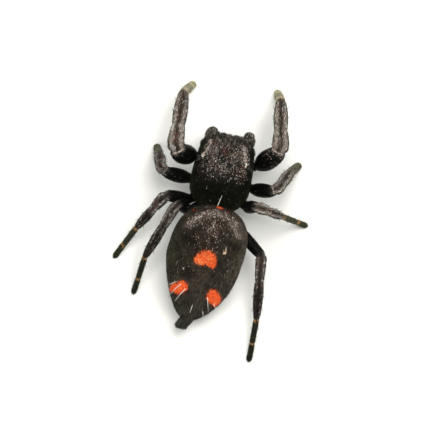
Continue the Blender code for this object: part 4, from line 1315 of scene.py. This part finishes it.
def dress_jaw(side, sign):
    """One jaw, shimmering from green to blue, with painted shade at its root where it tucks under the
    face; its hairs and its fang.
    """
    rings = jaw_rings(sign)
    x, _, z = np.moveaxis(rings, -1, 0)
    shimmer = np.clip(0.5 + 0.5 * np.sin(3.0 * z + 2.0 * x), 0.0, 1.0)
    tint = blend(np.array([0.01, 0.16, 0.07]), [0.01, 0.10, 0.14], shimmer)
    # Black at the top, where the jaw goes up under the face: painted shade.
    tint = blend(tint, [0.003, 0.004, 0.003], ramp(z, 2.82, 0.12))
    skin(f"jaw_{side}_shell", rings, GREEN, [f"jaw_{side}"], tint)
    route = [(sign * x, y, z) for x, y, z in FANG_ROUTE]
    fang = horn(route, 0.2, 40, 24, lambda share: 0.13 * (1.0 - share**1.5) + 0.008)
    skin(f"fang_{side}_horn", fang, FANG, [f"fang_{side}"], (0.09, 0.02, 0.01))
    count = 500
    hairs = sow(rings, count)
    tint = mixed(count, [(0.7, DARK), (0.3, GREY)])
    comb(f"jaw_{side}_coat", hairs, hairs.along, tint, (0.12, 0.3, 1.0), (0.2, 0.6, 0.0), 0.012)


for side, sign in SIDES:
    dress_jaw(side, sign)

STERNUM_HEIGHTS = (2.75, 2.50, 2.17, 2.06, 2.00, 1.975, 1.965)
CHEWING_PLATE = ((0.44, 2.30), (0.44, 2.08), (0.42, 1.86), (0.40, 1.74))  # x and z of its middle
sternum = stack([(0.0, -2.5, height) for height in STERNUM_HEIGHTS],
                [0.66, 0.83, 0.81, 0.72, 0.56, 0.34, 0.06],
                [1.26, 1.58, 1.54, 1.36, 1.05, 0.64, 0.11], power=2.6)
skin("sternum_plate", sternum, PLATE, ["sternum"], (0.008, 0.007, 0.006))
lip = stack([(0.0, -4.50, 2.30), (0.0, -4.52, 2.12), (0.0, -4.52, 1.98)],
            [0.16, 0.16, 0.08], [0.16, 0.19, 0.10])
skin("labium_plate", lip, PLATE, ["labium"], (0.03, 0.02, 0.015))
for side, sign in SIDES:
    middle = [(sign * x, -4.72, z) for x, z in CHEWING_PLATE]
    chewing = stack(middle, [0.20, 0.22, 0.20, 0.10], [0.29, 0.35, 0.31, 0.16])
    skin(f"endite_{side}_plate", chewing, PLATE, [f"endite_{side}"], (0.08, 0.05, 0.03))

count = 2200
hairs = sow(sternum, count, lambda centre, normal: normal[..., 2] < -0.2)
lay = unruly(np.array([0.0, 1.0, 0.0]), 0.3, count)
length = chance.uniform(0.12, 0.25, count)
lift = chance.uniform(0.2, 0.5, count)
tint = mixed(count, [(0.7, DARK), (0.3, (0.09, 0.08, 0.07))])
plant("sternum_coat", hairs, lay, length, 0.016, lift, tint)


# ------------------------------------------------------------------ waist and spinnerets
# A short brown stalk of soft skin joins the shield to the sac. The sac ends in a bundle of six
# tapering tubes with fine hairs, of which the middle ones are the smallest.

WAIST_ROUTE, WAIST_RADIUS = ((0.0, -0.86, 2.45), (-0.1, -0.15, 2.36), (-0.2, 0.16, 2.66)), 0.2
SPINNERETS = (  # pair, distance from the middle, rise of the root, thickness and length
    ("front", 0.21, -0.08, 0.25, 0.82), ("rear", 0.16, 0.14, 0.25, 0.90),
    ("middle", 0.04, 0.06, 0.16, 0.86),
)
SPINNERET_HAIR = ((0.5, (0.030, 0.032, 0.022)), (0.3, (0.075, 0.075, 0.055)), (0.2, DARK))

waist = horn(WAIST_ROUTE, 0.25, 30, 32, lambda share: WAIST_RADIUS + 0.0 * share)
skin("waist_skin", waist, SOFT_SKIN, ["pedicel"], (0.04, 0.028, 0.022))


def dress_spinneret(name, root, heading, thick, length, nodes):
    """One tapering tube, jointed past its middle and blunt, with fine hairs."""
    stations = np.linspace(0.0, length, 40)
    share = stations / stations[-1]
    radius = thick * (1.0 - 0.25 * share - 0.12 * bell(share - 0.62, 0.05)) * blunt_end(share)
    path = (np.array([root, root + length * heading]), np.array([0.0, length]))
    rings, _, _ = tube(path, stations, radius, sides=24)
    skin(name, rings, SOFT_SKIN, nodes, (0.035, 0.035, 0.028))
    count = 600
    hairs = sow(rings, count)
    tint = mixed(count, SPINNERET_HAIR)
    comb(f"{name}_coat", hairs, hairs.along, tint, (0.12, 0.26, 1.0), (0.1, 0.5, 0.0), 0.016)


end_of_abdomen = np.array([float(value) for value in abdomen_middle(ABDOMEN_END)])
bundle_heading = unit(np.array([0.32, 0.62, -0.12]))
nodes = ["spinnerets"]
for label, sideways, upwards, thick, length in SPINNERETS:
    for side, sign in SIDES:
        root = end_of_abdomen + [sign * sideways, -0.18, upwards]
        heading = unit(bundle_heading + [0.04 * sign, 0.0, 0.1 * upwards])
        dress_spinneret(f"spinneret_{label}_{side}", root, heading, thick, length, nodes)
        nodes = ()


# ------------------------------------------------------------------ floor, light and camera
# A plain pale paper floor, and broad soft lights in a bright room. The camera is far off and
# looks down on the spider's back.

VIEW_TURN, VIEW_TILT = math.radians(12.0), math.radians(8.0)
CAMERA_DISTANCE, FIELD = 250.0, 30.1
AIM = np.array([-0.126, 0.103, 4.109])

floor_mesh = bpy.data.meshes.new("floor")
floor_mesh.from_pydata([(-1, -1, 0), (1, -1, 0), (1, 1, 0), (-1, 1, 0)], [], [(0, 1, 2, 3)])
floor = in_scene("floor", floor_mesh)
PAPER = bpy.data.materials.new("white_paper")
PAPER.use_nodes = True
paper = PAPER.node_tree.nodes["Principled BSDF"]
paper.inputs["Base Color"].default_value = (0.86, 0.86, 0.86, 1.0)
paper.inputs["Roughness"].default_value = 0.9
floor_mesh.materials.append(PAPER)

world = bpy.data.worlds.new("studio")
bpy.context.scene.world = world
world.use_nodes = True
world.node_tree.nodes["Background"].inputs["Color"].default_value = (1.0, 1.0, 0.94, 1.0)
world.node_tree.nodes["Background"].inputs["Strength"].default_value = 0.58


def soft_light(name, place, size, power):
    """A square area light at a place in mm that faces the middle of the spider."""
    lamp = bpy.data.lights.new(name, "AREA")
    lamp.size, lamp.energy, lamp.color = size * MM, power, (1.0, 0.99, 0.93)
    light = in_scene(name, lamp)
    back = unit(np.array(place, float))
    side = unit(np.cross([0.0, 1.0, 0.0], back))
    turn = Matrix(np.column_stack([side, np.cross(back, side), back]).tolist())
    light.matrix_world = Matrix.Translation(in_row_frame(place).tolist()) @ turn.to_4x4()


soft_light("key_light", (-28.0, -42.0, 190.0), 110.0, 0.36)
soft_light("rim_light", (80.0, 70.0, 120.0), 50.0, 0.05)
bpy.context.scene.view_settings.view_transform = "Standard"

right = np.array([-math.cos(VIEW_TURN), -math.sin(VIEW_TURN), 0.0])
rearward = np.array([-math.sin(VIEW_TURN), math.cos(VIEW_TURN), 0.0])
up = -math.cos(VIEW_TILT) * rearward + math.sin(VIEW_TILT) * UP
towards = np.cross(right, up)
camera_data = bpy.data.cameras.new("camera")
camera_data.sensor_width = 36.0
camera_data.lens = 36.0 * CAMERA_DISTANCE / FIELD
camera_data.clip_start, camera_data.clip_end = 0.01, 10.0
camera = in_scene("camera", camera_data)
place = in_row_frame(AIM + CAMERA_DISTANCE * towards)
turn = Matrix(np.column_stack([right, up, towards]).tolist())
camera.matrix_world = Matrix.Translation(place.tolist()) @ turn.to_4x4()
bpy.context.scene.camera = camera
